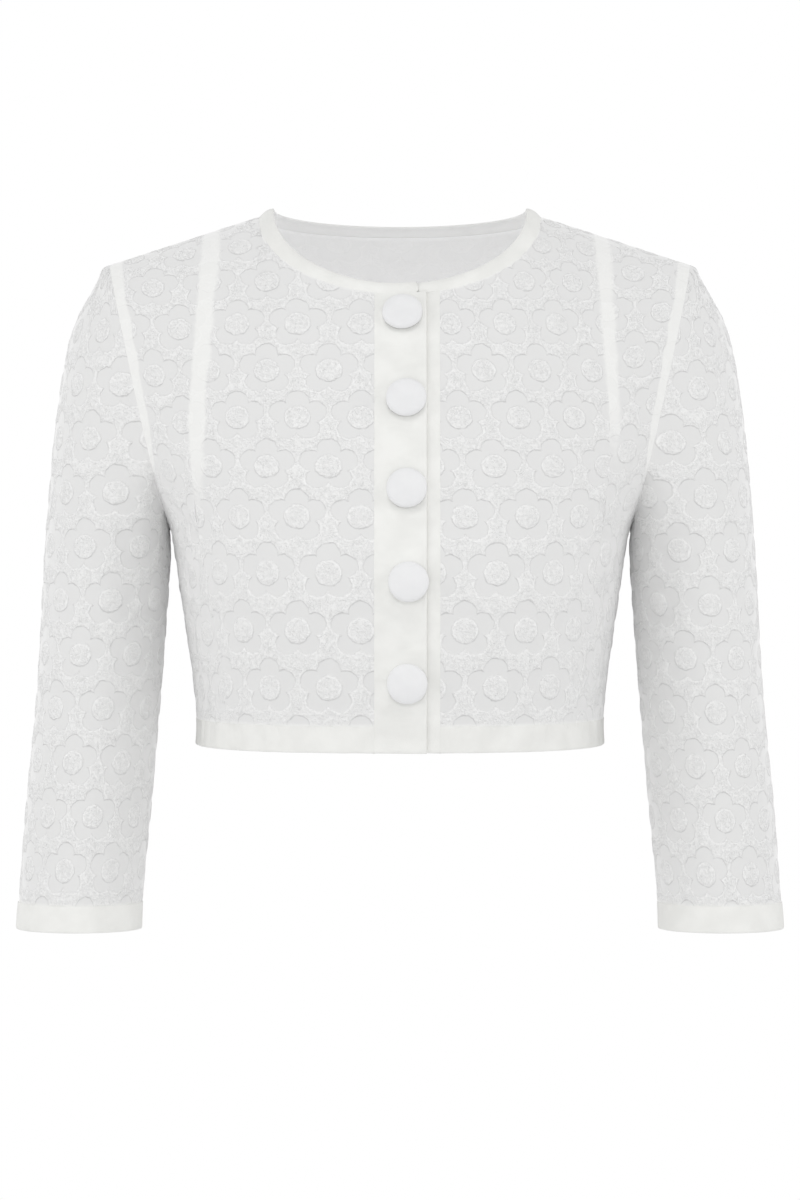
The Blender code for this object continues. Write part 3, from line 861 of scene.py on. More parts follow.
class Graph:
    """Adds nodes to one node tree and wires them, so that a formula reads from the inside out."""

    DETAIL = 2.0

    def __init__(self, tree: NodeTree) -> None:
        """Keeps the tree that the nodes go into."""
        self.tree = tree

    def add(self, kind: str, **settings: object) -> Node:
        """New node of a kind, with its settings."""
        node = self.tree.nodes.new(kind)
        for name, value in settings.items():
            setattr(node, name, value)
        return node

    def feed(self, socket: Socket, value: Wire) -> None:
        """Wires an output to an input, or sets the input to a plain value."""
        if isinstance(value, Socket):
            self.tree.links.new(value, socket)
        else:
            socket.default_value = value

    def worked(self, kind: str, operation: str, values: Sequence[Wire]) -> Node:
        """Node that does one operation on values."""
        node = self.add(kind, operation=operation)
        for socket, value in zip(node.inputs, values):
            self.feed(socket, value)
        return node

    def math(self, operation: str, *values: Wire) -> Socket:
        """Result of a Math node."""
        return self.worked("ShaderNodeMath", operation, values).outputs["Value"]

    def times(self, first: Wire, second: Wire) -> Socket:
        """Product of two numbers."""
        return self.math("MULTIPLY", first, second)

    def vector(self, operation: str, *values: Wire) -> Socket:
        """Vector result of a Vector Math node."""
        return self.worked("ShaderNodeVectorMath", operation, values).outputs["Vector"]

    def length(self, value: Socket) -> Socket:
        """Length of a vector."""
        return self.worked("ShaderNodeVectorMath", "LENGTH", (value,)).outputs["Value"]

    def split(self, value: Socket) -> tuple[Socket, Socket]:
        """The x and y of a vector."""
        node = self.add("ShaderNodeSeparateXYZ")
        self.feed(node.inputs[0], value)
        return node.outputs["X"], node.outputs["Y"]

    def mix(self, kind: MixKind, factor: Wire, first: Wire, second: Wire) -> Socket:
        """Blend of two values by a factor."""
        node = self.add("ShaderNodeMix", data_type=kind.name)
        for place, value in zip((0, kind.value[0], kind.value[1]), (factor, first, second)):
            self.feed(node.inputs[place], value)
        return node.outputs[kind.value[2]]

    def tint(self, factor: Wire, first: Wire, second: Colour) -> Socket:
        """Blend from a colour to a plain colour."""
        start = first if isinstance(first, Socket) else (*first, 1.0)
        return self.mix(MixKind.RGBA, factor, start, (*second, 1.0))

    def span(self, value: Wire, low: float, high: float, to_low: float = 0.0, to_high: float = 1.0) -> Socket:
        """Smooth step of a value from one range to another."""
        node = self.add("ShaderNodeMapRange", interpolation_type="SMOOTHSTEP")
        for socket, entry in zip(node.inputs, (value, low, high, to_low, to_high)):
            self.feed(socket, entry)
        return node.outputs["Result"]

    def noise_node(self, place: Wire, scale: float, detail: float = DETAIL) -> Node:
        """Noise texture of a scale and a detail."""
        node = self.add("ShaderNodeTexNoise")
        for name, value in (("Vector", place), ("Scale", scale), ("Detail", detail)):
            self.feed(node.inputs[name], value)
        return node

    def noise(self, place: Wire, scale: float, detail: float = DETAIL) -> Socket:
        """Smooth noise from 0 to 1."""
        return self.noise_node(place, scale, detail).outputs["Fac"]

    def swayed(self, place: Wire, scale: float, reach: float) -> Socket:
        """Places moved about by a noise of the given scale, up to about half the reach."""
        sway = self.vector("SUBTRACT", self.noise_node(place, scale).outputs["Color"], (0.5, 0.5, 0.5))
        return self.vector("MULTIPLY_ADD", sway, (reach, reach, 0.0), place)

    def flat_place(self) -> Socket:
        """Flat place of the cloth, in metres, from its UV layer."""
        return self.add("ShaderNodeUVMap", uv_map=FLAT_LAYER).outputs["UV"]

    def layer(self, name: str) -> Socket:
        """Number that the mesh holds under a name."""
        return self.add("ShaderNodeAttribute", attribute_name=name).outputs["Fac"]

    def group(self, tree: NodeTree, **values: Wire) -> Node:
        """Node group fed with values by name."""
        node = self.add("ShaderNodeGroup", node_tree=tree)
        for name, value in values.items():
            self.feed(node.inputs[name], value)
        return node

    def bump(self, height: Socket) -> Socket:
        """Normal with a height in metres added.

        Args:
            height: the heights.

        Returns:
            The normals.
        """
        node = self.add("ShaderNodeBump")
        self.feed(node.inputs["Strength"], 1.0)
        self.feed(node.inputs["Distance"], 1.0)
        self.feed(node.inputs["Height"], height)
        return node.outputs["Normal"]


def new_group(name: str, inputs: dict[str, str], outputs: Sequence[str]) -> tuple[Graph, Node, Node]:
    """New shader node group whose outputs are all plain values.

    Args:
        name: the group's name.
        inputs: the names of its inputs, each with its kind of socket.
        outputs: the names of its outputs.

    Returns:
        A graph on its nodes, and its input and output nodes.
    """
    tree = bpy.data.node_groups.new(name, "ShaderNodeTree")
    for socket, kind in inputs.items():
        tree.interface.new_socket(name=socket, in_out="INPUT", socket_type=kind)
    for socket in outputs:
        tree.interface.new_socket(name=socket, in_out="OUTPUT", socket_type="NodeSocketFloat")
    graph = Graph(tree)
    return graph, graph.add("NodeGroupInput"), graph.add("NodeGroupOutput")


class WeaveGroup:
    """Shared node group: plain weave of two sets of threads, with uneven thread."""

    UNEVEN_PER_METRE = 260.0
    UNEVEN_TURN = 2.6
    CLOUDS_PER_METRE = 45.0
    CLOUD_DETAIL = 3.0

    def __init__(self) -> None:
        """Builds the group from flat places to a height and a slow cloud of tone."""
        inputs = {"Place": "NodeSocketVector", "Threads": "NodeSocketFloat"}
        graph, source, out = new_group("plain_weave", inputs, ("Height", "Cloud"))
        place = source.outputs["Place"]
        uneven = graph.noise(place, self.UNEVEN_PER_METRE)
        waves = []
        for distance in graph.split(place):
            run = graph.times(distance, source.outputs["Threads"])
            turn = graph.math("MULTIPLY_ADD", uneven, self.UNEVEN_TURN, graph.times(run, math.pi))
            waves.append(graph.math("ABSOLUTE", graph.math("SINE", turn)))
        graph.feed(out.inputs["Height"], graph.times(*waves))
        graph.feed(out.inputs["Cloud"], graph.noise(place, self.CLOUDS_PER_METRE, self.CLOUD_DETAIL))
        self.tree = graph.tree


class StitchGroup:
    """Shared node group: squiggled stitches in two layers over pitted cloth."""

    SQUIGGLES_PER_METRE = (270.0, 350.0)
    LAYER_SHIFT = (3.1, 1.7)
    STITCH_SHARE = 0.075
    PITS_PER_METRE = 430.0
    PIT_RANGE = (0.55, 0.68)

    def __init__(self) -> None:
        """Builds the group from flat places to the stitches and the pits, both from 0 to 1."""
        inputs = {"Place": "NodeSocketVector"}
        graph, source, out = new_group("squiggled_stitches", inputs, ("Stitch", "Pit"))
        place = source.outputs["Place"]
        layers = []
        for number, scale in enumerate(self.SQUIGGLES_PER_METRE):
            shift = (number * self.LAYER_SHIFT[0], number * self.LAYER_SHIFT[1], 0.0)
            field = graph.noise(graph.vector("ADD", place, shift), scale, 1.0)
            away = graph.math("ABSOLUTE", graph.math("SUBTRACT", field, 0.5))
            layers.append(graph.span(away, self.STITCH_SHARE, 0.0))
        graph.feed(out.inputs["Stitch"], graph.math("MAXIMUM", *layers))
        pits = graph.noise(place, self.PITS_PER_METRE)
        graph.feed(out.inputs["Pit"], graph.span(pits, *self.PIT_RANGE))
        self.tree = graph.tree


def new_material(name: str) -> tuple[Material, Graph, Node]:
    """Material with a Principled shader.

    Args:
        name: the material's name.

    Returns:
        The material, a graph on its nodes and its shader.
    """
    material = bpy.data.materials.new(name)
    material.use_nodes = True
    return material, Graph(material.node_tree), material.node_tree.nodes["Principled BSDF"]


def dress_cloth(shader: Node, sheen: float, glow: float) -> None:
    """Sets what every cloth has alike: soft sheen, little gloss and light that comes through the thin wall.

    Args:
        shader: the material's shader.
        sheen: strength of the sheen.
        glow: share of the light that comes through.
    """
    values = {
        "Sheen Weight": sheen,
        "Sheen Roughness": 0.55,
        "Specular IOR Level": 0.25,
        "Subsurface Weight": glow,
        "Subsurface Radius": (1.0, 1.0, 1.0),
        "Subsurface Scale": 0.0400,
    }
    for name, value in values.items():
        shader.inputs[name].default_value = value


@dataclass(frozen=True)
class EmbroideredCloth:
    """Sheer white cloth with raised white flowers; its seam allowances show through as whiter bands.

    The heights are those of the stitching, in metres; relief is the share of them that shows. Glow is the
    share of the light that comes through from the other side.
    """

    name: str
    web: Colour
    petal: Colour
    gap: Colour
    # light thread tone of the stitches and the disc's rim, and a painted highlight along the petals' lower
    # edges
    cord_and_highlight: Colour
    allowance: Colour
    # painted shadow along the petals' upper edges and under the discs
    painted_shadow: Colour
    relief: float = 1.0
    glow: float = 0.0

    WEB_STEP = 0.00016
    RISES = {"Cord": 0.00010, "Disc Rim": 0.00014, "Rosette": 0.00030}
    STITCH_HEIGHT = 0.00022
    PIT_DEPTH = -0.00010
    THREAD_HEIGHT = 0.00001
    THREADS_PER_METRE = 1500.0
    SWAYS_PER_METRE = 240.0
    OUTLINE_SWAY = 0.0026
    PAINTED_SHADOW_NOISE = 190.0
    PAINTED_SHADOW_RANGE = (0.3, 0.62, 0.25, 1.0)
    BAND_EDGE_NOISE = 240.0
    BAND_UNEVEN = 0.5
    BAND_RANGE = (0.2, 0.8, 0.0, 0.8)
    CLOUD_SHARE = 0.35
    PIT_SHARE = 0.8
    STITCH_SHARE = 0.5
    CORD_HIGHLIGHT_SHARE = 0.8
    RIM_SHARE = 0.9
    ROUGHNESS = 0.72
    STITCH_ROUGHNESS = 0.15
    SHEEN = 1.00

    def material(self, flowers: NodeTree, stitches: NodeTree, weave: NodeTree) -> Material:
        """Material that follows the flat cut: masks of the repeat pick the tones and the stitch heights.

        Args:
            flowers: group of the flower repeat.
            stitches: group of the squiggled stitches.
            weave: group of the plain weave.

        Returns:
            The material.
        """
        material, graph, shader = new_material(self.name)
        place = graph.flat_place()
        swayed = graph.swayed(place, self.SWAYS_PER_METRE, self.OUTLINE_SWAY)
        flower = graph.group(flowers, Place=swayed, Squeeze=graph.layer(SQUEEZE_LAYER)).outputs
        patches = graph.group(stitches, Place=place).outputs
        threads = graph.group(weave, Place=place, Threads=self.THREADS_PER_METRE).outputs
        band_noise = graph.noise(place, self.BAND_EDGE_NOISE)
        uneven = graph.math("MULTIPLY_ADD", band_noise, self.BAND_UNEVEN, -self.BAND_UNEVEN / 2)
        cover = graph.span(graph.math("ADD", graph.layer(ALLOWANCE_LAYER), uneven), *self.BAND_RANGE)
        stitched = graph.math("SUBTRACT", 1.0, flower["Petal"])

        # Strength of the painted shadow, made uneven by noise.
        painted_shadow = graph.span(graph.noise(place, self.PAINTED_SHADOW_NOISE), *self.PAINTED_SHADOW_RANGE)
        tone = self.web
        for share, colour in (
            (graph.times(threads["Cloud"], self.CLOUD_SHARE), self.petal),
            (graph.times(patches["Pit"], self.PIT_SHARE), self.gap),
            (graph.times(patches["Stitch"], self.STITCH_SHARE), self.cord_and_highlight),
            (flower["Petal"], self.petal),
            (graph.times(flower["Painted Shadow"], painted_shadow), self.painted_shadow),
            # painted highlight along the petals' lower edges
            (graph.times(flower["Cord"], self.CORD_HIGHLIGHT_SHARE), self.cord_and_highlight),
            # the disc's rim of light thread, with painted shade at its foot
            (graph.times(flower["Disc Rim"], self.RIM_SHARE), self.cord_and_highlight),
            (cover, self.allowance),
        ):
            tone = graph.tint(share, tone, colour)
        graph.feed(shader.inputs["Base Color"], tone)

        height = graph.math("MULTIPLY_ADD", patches["Stitch"], self.STITCH_HEIGHT, self.WEB_STEP)
        height = graph.math("MULTIPLY_ADD", patches["Pit"], self.PIT_DEPTH, height)
        height = graph.times(stitched, height)
        for name, rise in self.RISES.items():
            height = graph.math("MULTIPLY_ADD", flower[name], rise, height)
        height = graph.times(height, graph.math("MULTIPLY_ADD", cover, -self.relief, self.relief))
        height = graph.math("MULTIPLY_ADD", threads["Height"], self.THREAD_HEIGHT, height)
        graph.feed(shader.inputs["Normal"], graph.bump(height))
        rough = graph.math("MULTIPLY_ADD", stitched, self.STITCH_ROUGHNESS, self.ROUGHNESS)
        graph.feed(shader.inputs["Roughness"], rough)
        dress_cloth(shader, self.SHEEN, self.glow)
        return material


@dataclass(frozen=True)
class PlainCloth:
    """Closely woven white cloth: a fine weave, a slow cloud of tone and slightly uneven threads."""

    name: str
    tone: Colour
    shade: Colour
    threads: float
    thread_height: float
    roughness: float
    sheen: float
    glow: float = 0.0

    SLUBS_PER_METRE = 420.0
    SLUB_DETAIL = 3.0
    SLUB_SHARE = 0.8
    CLOUD_RANGE = (0.3, 0.7)
    CLOUD_SHARE = 0.6
    DIP_SHARE = 0.25
    DIP_ROUGHNESS = 0.1

    def material(self, weave: NodeTree) -> Material:
        """Material of the weave on the cloth's flat places.

        Args:
            weave: group of the plain weave.

        Returns:
            The material.
        """
        material, graph, shader = new_material(self.name)
        place = graph.flat_place()
        threads = graph.group(weave, Place=place, Threads=self.threads).outputs
        slub = graph.noise(place, self.SLUBS_PER_METRE, self.SLUB_DETAIL)
        dip = graph.math("SUBTRACT", 1.0, threads["Height"])
        cloud = graph.span(threads["Cloud"], *self.CLOUD_RANGE)
        shade = graph.math("MULTIPLY_ADD", dip, self.DIP_SHARE, graph.times(cloud, self.CLOUD_SHARE))
        graph.feed(shader.inputs["Base Color"], graph.tint(shade, self.tone, self.shade))
        height = graph.math("MULTIPLY_ADD", slub, self.SLUB_SHARE, threads["Height"])
        graph.feed(shader.inputs["Normal"], graph.bump(graph.times(height, self.thread_height)))
        rough = graph.math("MULTIPLY_ADD", dip, self.DIP_ROUGHNESS, self.roughness)
        graph.feed(shader.inputs["Roughness"], rough)
        dress_cloth(shader, self.sheen, self.glow)
        return material


@dataclass(frozen=True)
class Finishes:
    """The materials of the garment, made once."""

    right_side: Material
    wrong_side: Material
    doubled: Material
    facing: Material
    button: Material

    @classmethod
    def made(cls, flowers: FlowerRepeat) -> "Finishes":
        """Builds the shared groups and the materials.

        Args:
            flowers: the flower repeat.

        Returns:
            The materials.
        """
        repeat = flowers.node_group()
        stitches = StitchGroup().tree
        weave = WeaveGroup().tree
        right_side = EmbroideredCloth(
            "embroidered_right_side",
            web=(0.784, 0.784, 0.780),
            petal=(0.720, 0.720, 0.716),
            gap=(0.698, 0.698, 0.694),
            cord_and_highlight=(0.858, 0.858, 0.853),
            allowance=(0.830, 0.831, 0.815),
            painted_shadow=(0.490, 0.490, 0.487),
        )
        # Wrong side: flatter flowers, as on the back of embroidery, in tones lighter than the right side's:
        # painted light for the inside, which lies mostly in shade.
        wrong_side = EmbroideredCloth(
            "embroidered_wrong_side",
            web=(0.865, 0.858, 0.848),
            petal=(0.840, 0.833, 0.823),
            gap=(0.830, 0.823, 0.813),
            cord_and_highlight=(0.885, 0.878, 0.868),
            allowance=(0.885, 0.878, 0.865),
            painted_shadow=(0.820, 0.813, 0.803),
            relief=0.3,
            glow=1.0,
        )
        doubled = PlainCloth(
            "doubled_cloth", (0.860, 0.861, 0.838), (0.775, 0.776, 0.753),
            threads=1600.0, thread_height=0.00007, roughness=0.75, sheen=0.15,
        )
        # Inner faces of the bands: the doubled cloth in a lighter, warmer copy; the lighter tone is painted
        # light for the inside, which lies mostly in shade.
        facing = PlainCloth(
            "doubled_inside", (0.925, 0.912, 0.872), (0.875, 0.862, 0.822),
            threads=1600.0, thread_height=0.00007, roughness=0.8, sheen=0.1, glow=1.0,
        )
        button = PlainCloth(
            "button_cover", (0.825, 0.827, 0.834), (0.775, 0.777, 0.786),
            threads=1300.0, thread_height=0.00010, roughness=0.6, sheen=0.2,
        )
        embroidered = [side.material(repeat, stitches, weave) for side in (right_side, wrong_side)]
        return cls(*embroidered, *(plain.material(weave) for plain in (doubled, facing, button)))


@dataclass
class Wardrobe:
    finishes: Finishes

    def hang(self, node: str, mesh: Mesh, materials: Sequence[Material]) -> Object:
        """New piece in place of a node.

        Args:
            node: the node that the piece stands for.
            mesh: its mesh, in place.
            materials: its materials, right side first.

        Returns:
            The piece.
        """
        for material in materials:
            mesh.materials.append(material)
        piece = bpy.data.objects.new(mesh.name, mesh)
        bpy.context.scene.collection.objects.link(piece)
        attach(piece, ROOT_BODY)
        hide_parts(node)
        log.info("%s: %d faces, stands for %s", piece.name, len(mesh.polygons), node)
        return piece

    def sheet(
        self, node: str, outer: ClothGrid, inner: Array, slot: Slot,
        cut: ClothGrid,
    ) -> None:
        """New piece of cloth in place of a node; the size of its flat cut goes to the log.

        Args:
            node: the node that the piece stands for.
            outer: its outer face.
            inner: points of its inner face.
            slot: its material slot in the record.
            cut: the cloth before its relief and creases, which gives the flat size.
        """
        if slot is Slot.EMBROIDERED:
            materials = (self.finishes.right_side, self.finishes.wrong_side)
        else:
            materials = (self.finishes.doubled, self.finishes.facing)
        piece = self.hang(node, shell_mesh(node + "_cloth", outer, inner), materials)
        width, length = cut.cut_size()
        area = min(cut.area(), width * length)
        log.info("%s: cut %.3f by %.3f m, %.4f square metres", piece.name, width, length, area)


@dataclass(frozen=True)
class SeamBand:
    """Seam allowance that shows through along one edge: its width, and where it fades down the figure."""

    width: float
    fade_start: float
    fade_end: float
    strength: float = 1.0
    softness: float = 0.0040

    UNEVEN = 0.08
    WAVES = 190.0
    DRIFT = 1.4
    SLOW_WAVES = 71.0

    def mask(self, distance: Array, drop: Array) -> Array:
        """Share of allowance by the distance from the seam and the drop, with an edge that wavers.

        Args:
            distance: distances from the seam.
            drop: drops of the points.

        Returns:
            Shares from 0 up to the band's strength.
        """
        uneven = waver(self.WAVES * drop, self.DRIFT, self.SLOW_WAVES * drop)
        width = self.width * (1 + self.UNEVEN * uneven)
        inside = 1 - ease((distance - width) / self.softness + 0.5)
        fade = 1 - ease((drop - self.fade_start) / (self.fade_end - self.fade_start))
        return self.strength * inside * fade


@dataclass
class EmbroideredPanel:
    """Common make-up of the embroidered panels: relief of the flowers, level edges, puckers and creases."""

    form: TorsoForm
    flowers: FlowerRepeat
    thickness: float = 0.0009
    edge_width: float = 0.0016
    edge_thinning: float = 0.85
    band_height: float = 0.00040
    edge_band: SeamBand = SeamBand(0.0016, 1.0, 1.1, 0.7)
    pucker_height: float = 0.00018
    pucker_length: float = 0.0105
    pucker_reach: float = 0.010
    pucker_drift: float = 2.1
    pucker_slow: float = 37.0

    @staticmethod
    def even_pattern(cloth: ClothGrid, flower: Sequence[float], scale: Sequence[float] = (1.0, 1.0)) -> Array:
        """Places in the repeat about a flower's flat place, scaled across and up, all squeezed alike."""
        places = (cloth.flat - np.asarray(flower)) * np.asarray(scale)
        return np.concatenate([places, np.full_like(places[..., :1], FLOWER_ROWS[0].squeeze)], axis=-1)

    def finish(self, cloth: ClothGrid, pattern: Array, creases: Array) -> tuple[ClothGrid, Array]:
        """Raises the embroidery and presses puckers and creases into a panel.

        The height is the flower relief plus small waves beside the seams that die away from them; it is even
        where the seam allowance shows and along the edges, so that neighbours meet flush. The creases are
        added to it.

        Args:
            cloth: the panel's plain face.
            pattern: places of its points in the repeat, zero at a flower's middle, and the flowers' squeeze.
            creases: heights of the creases.

        Returns:
            The finished outer face and the points of the inner face.
        """
        cloth = replace(cloth, flat=pattern[..., :2], squeeze=pattern[..., 2])
        top, bottom, first, last = cloth.from_edges()
        nearest = np.minimum(top, bottom)
        if not cloth.wrapped:
            nearest = np.minimum(nearest, np.minimum(first, last))
        relief = self.flowers.relief(cloth.flat, cloth.squeeze)
        run = np.where(np.minimum(first, last) < np.minimum(top, bottom), top, first)
        pucker = waver(2 * np.pi * run / self.pucker_length, self.pucker_drift, self.pucker_slow * run)
        pucker = self.pucker_height * pucker * np.exp(-nearest / self.pucker_reach)
        edge = np.exp(-((nearest / self.edge_width) ** 2))
        height = blend(relief, self.band_height, np.maximum(edge, cloth.allowance))
        outer = cloth.moved_out(height + pucker * (1 - edge) + creases)
        thickness = self.thickness * (1 - self.edge_thinning * edge)
        return outer, outer.points - thickness[..., None] * cloth.normals()


@dataclass
class Torso(EmbroideredPanel):
    """Centre fronts, side fronts and back."""

    step: float = 0.0016
    rows: int = 236
    back_step: float = 0.0020
    back_rows: int = 196
    line_steps: int = 600
    front_fullness: float = 1.22
    side_width: float = 0.082
    half_back_width: float = 0.215
    placket_seam_x: float = 0.017
    underlap_seam_x: float = 0.0265
    right_princess: tuple[SeamBand, SeamBand] = (
        SeamBand(0.0116, 0.140, 0.240, 1.0, 0.0085), SeamBand(0.0014, 0.140, 0.240, 1.0, 0.0085)
    )
    left_princess: tuple[SeamBand, SeamBand] = (
        SeamBand(0.0014, 0.115, 0.205, 0.9, 0.0085), SeamBand(0.0109, 0.115, 0.205, 0.9, 0.0085)
    )
    armhole_band: SeamBand = SeamBand(0.0080, 0.16, 0.20)
    shoulder_band: SeamBand = SeamBand(0.0050, 0.30, 0.32, 0.8)
    fan_pivot: float = -0.0215
    right_flower: Pair = (-0.0258, 2.0)
    left_flower: Pair = (0.0428, 2.0)
    side_right_flower: Pair = (-0.1750, 0.9)
    side_left_flower: Pair = (0.1650, 1.3)
    back_flower: Pair = (0.0, 0.0300)
    side_creases: tuple[Crease, ...] = (
        Crease((0.1545, 0.205), (0.118, 0.238), 0.0014, 0.0060, 0.06),
        Crease((0.1520, 0.228), (0.124, 0.262), 0.0010, 0.0070, -0.05),
        Crease((0.1720, 0.150), (0.1500, 0.196), 0.0009, 0.0055, 0.05),
        Crease((0.1430, 0.262), (0.1340, 0.338), 0.0009, 0.0080, 0.03),
    )
    front_creases: tuple[Crease, ...] = (
        Crease((0.118, 0.238), (0.080, 0.256), 0.0008, 0.0090, 0.05),
        Crease((0.098, 0.262), (0.090, 0.345), 0.0009, 0.0100, -0.03),
        Crease((0.060, 0.285), (0.054, 0.347), 0.0006, 0.0085, 0.03),
        Crease((0.030, 0.215), (0.068, 0.232), 0.0004, 0.0060, 0.05),
        Crease((0.100, 0.062), (0.060, 0.100), 0.0006, 0.0090, -0.06),
    )
    back_creases: tuple[Crease, ...] = (
        Crease((0.150, 0.190), (0.090, 0.238), 0.0015, 0.0080, 0.05),
        Crease((-0.152, 0.184), (-0.098, 0.229), 0.0013, 0.0085, -0.05),
        Crease((0.145, 0.232), (0.085, 0.268), 0.0011, 0.0080, -0.04),
        Crease((-0.143, 0.240), (-0.078, 0.262), 0.0012, 0.0075, 0.05),
        Crease((0.062, 0.258), (0.056, 0.344), 0.0010, 0.0100, 0.04),
        Crease((-0.054, 0.266), (-0.060, 0.346), 0.0009, 0.0095, -0.03),
        Crease((0.118, 0.290), (0.112, 0.346), 0.0008, 0.0080, 0.03),
        Crease((-0.116, 0.284), (-0.108, 0.346), 0.0008, 0.0085, -0.03),
        Crease((0.165, 0.080), (0.128, 0.135), 0.0008, 0.0090, 0.05),
        Crease((-0.163, 0.086), (-0.130, 0.140), 0.0009, 0.0080, -0.05),
    )

    FAR_AWAY = 1.0

    def __post_init__(self) -> None:
        """Makes the flat maps of both faces."""
        self.maps = {face: FlatMap(self.form, face) for face in Face}

    def even_edge(self, x: Array, drop: Array, face: Face, count: int) -> Array:
        """Edge given by close values of x and drop, read again at even distances as turn and drop.

        Args:
            x: distances from the middle.
            drop: drops of the points.
            face: front or back.
            count: the number of even steps.

        Returns:
            Turns and drops along the edge.
        """
        places = np.stack([x, drop], axis=-1)
        places = evenly(self.form.points(x, drop, face), places, count)
        return np.stack([self.form.turn_of(places[:, 0], places[:, 1]), places[:, 1]], axis=-1)

    def upright_edge(self, x: float, face: Face, rows: int) -> Array:
        """Edge straight down from the binding's seam to the hem seam."""
        drop = np.linspace(self.form.neck_seam(x, face), self.form.hem_seam_drop, self.line_steps)
        return self.even_edge(np.full(len(drop), x), drop, face, rows)

    def princess_edge(self, rows: int) -> Array:
        """Princess seam from the shoulder seam to the hem seam."""
        drop = np.linspace(PRINCESS[0].drop, self.form.hem_seam_drop, self.line_steps)
        x = table_column(PRINCESS, "x", drop)
        drop[0] = self.form.ridge_drop(x[0])
        return self.even_edge(x, drop, Face.FRONT, rows)

    def bent_edge(self, first: Sequence[Array], second: Sequence[Array], face: Face, count: int) -> Array:
        """Edge of two runs of x and drop, its steps shared out by their lengths, with a point between.

        Args:
            first: x and drop of the first run.
            second: x and drop of the second run.
            face: front or back.
            count: the number of steps in both.

        Returns:
            Turns and drops along the edge.
        """
        lengths = [lengths_along(self.form.points(*run, face), 0)[-1] for run in (first, second)]
        steps = round(count * lengths[0] / sum(lengths))
        start = self.even_edge(*first, face, steps)
        return np.concatenate([start, self.even_edge(*second, face, count - steps)[1:]])

    def side_edge(self, face: Face, rows: int) -> Array:
        """Armhole seam, then side seam, with a point at the underarm.

        Args:
            face: front or back.
            rows: the number of steps.

        Returns:
            Turns and drops along the edge.
        """
        form = self.form
        turn = np.linspace(0, np.pi, self.line_steps)
        upper = blend(form.shoulder_point_drop, form.underarm_drop, (1 - np.cos(turn)) / 2)
        lower = np.linspace(form.underarm_drop, form.hem_seam_drop, self.line_steps)
        arm = np.minimum(form.armhole_x(upper), form.half_width(upper))
        return self.bent_edge((arm, upper), (form.half_width(lower), lower), face, rows)

    def top_edge(self, inner_x: float, outer_x: float, face: Face, columns: int) -> Array:
        """Top edge: along the binding's seam, then along the shoulder seam.

        Args:
            inner_x: where the edge starts.
            outer_x: where it ends.
            face: front or back.
            columns: the number of steps.

        Returns:
            Turns and drops along the edge.
        """
        form = self.form
        width = form.neck_half_width + form.binding_at_side
        neck_x = width * np.sin(np.linspace(math.asin(inner_x / width), math.pi / 2, self.line_steps))
        shoulder_x = np.linspace(width, outer_x, self.line_steps)
        neck = (neck_x, form.neck_seam(neck_x, face))
        return self.bent_edge(neck, (shoulder_x, form.ridge_drop(shoulder_x)), face, columns)

    def level_edge(self, left: Array, right: Array, face: Face, columns: int) -> Array:
        """Level edge between the feet of two side edges."""
        turn = np.linspace(left[-1, 0], right[-1, 0], self.line_steps)
        drop = np.full(len(turn), right[-1, 1])
        return self.even_edge(self.form.half_width(drop) * np.sin(turn), drop, face, columns)

    def patch(self, top: Array, left: Array, right: Array, face: Face) -> tuple[ClothGrid, Array]:
        """Cloth inside four edges: the sum of the blends between opposite edges, less that of the corners.

        The fourth edge is level, between the feet of the two side edges.

        Args:
            top: top edge as turns and drops.
            left: edge nearer the centre line.
            right: edge nearer the side.
            face: front or back.

        Returns:
            The cloth, with no seam allowance yet, and the drops of its points.
        """
        bottom = self.level_edge(left, right, face, len(top) - 1)
        u = np.linspace(0, 1, len(top))[None, :, None]
        v = np.linspace(0, 1, len(left))[:, None, None]
        sides = blend(top[None], bottom[None], v) + blend(left[:, None], right[:, None], u)
        corners = blend(blend(top[0], top[-1], u), blend(bottom[0], bottom[-1], u), v)
        inside = sides - corners
        drop = inside[..., 1]
        x = self.form.half_width(drop) * np.sin(inside[..., 0])
        points = self.form.points(x, drop, face)
        return ClothGrid(points, self.maps[face].place(x, drop), np.zeros(drop.shape)), drop

    def shoulder_mask(self, from_top: Array, drop: Array) -> Array:
        """Allowance along the shoulder seam, the outer half of a top edge; the rest counts as far from it."""
        columns = np.arange(from_top.shape[1])[None]
        from_seam = np.where(columns > columns[0, -1] // 2, from_top, self.FAR_AWAY)
        return self.shoulder_band.mask(from_seam, drop)

    def centre_front(self, inner_x: float, princess: SeamBand) -> ClothGrid:
        """Left centre front, from its placket seam to the princess seam with its allowance.

        Args:
            inner_x: where the placket seam lies.
            princess: the princess seam's allowance.

        Returns:
            The cloth, without flowers or creases.
        """
        right = self.princess_edge(self.rows)
        left = self.upright_edge(inner_x, Face.FRONT, self.rows)
        outer_x = PRINCESS[0].x
        columns = round((outer_x - inner_x) * self.front_fullness / self.step)
        top = self.top_edge(inner_x, outer_x, Face.FRONT, columns)
        cloth, drop = self.patch(top, left, right, Face.FRONT)
        from_top, from_hem, _, last = cloth.from_edges()
        cloth.allowance = np.maximum.reduce([
            princess.mask(last, drop),
            self.shoulder_mask(from_top, drop),
            self.edge_band.mask(np.minimum(from_top, from_hem), drop),
        ])
        return cloth

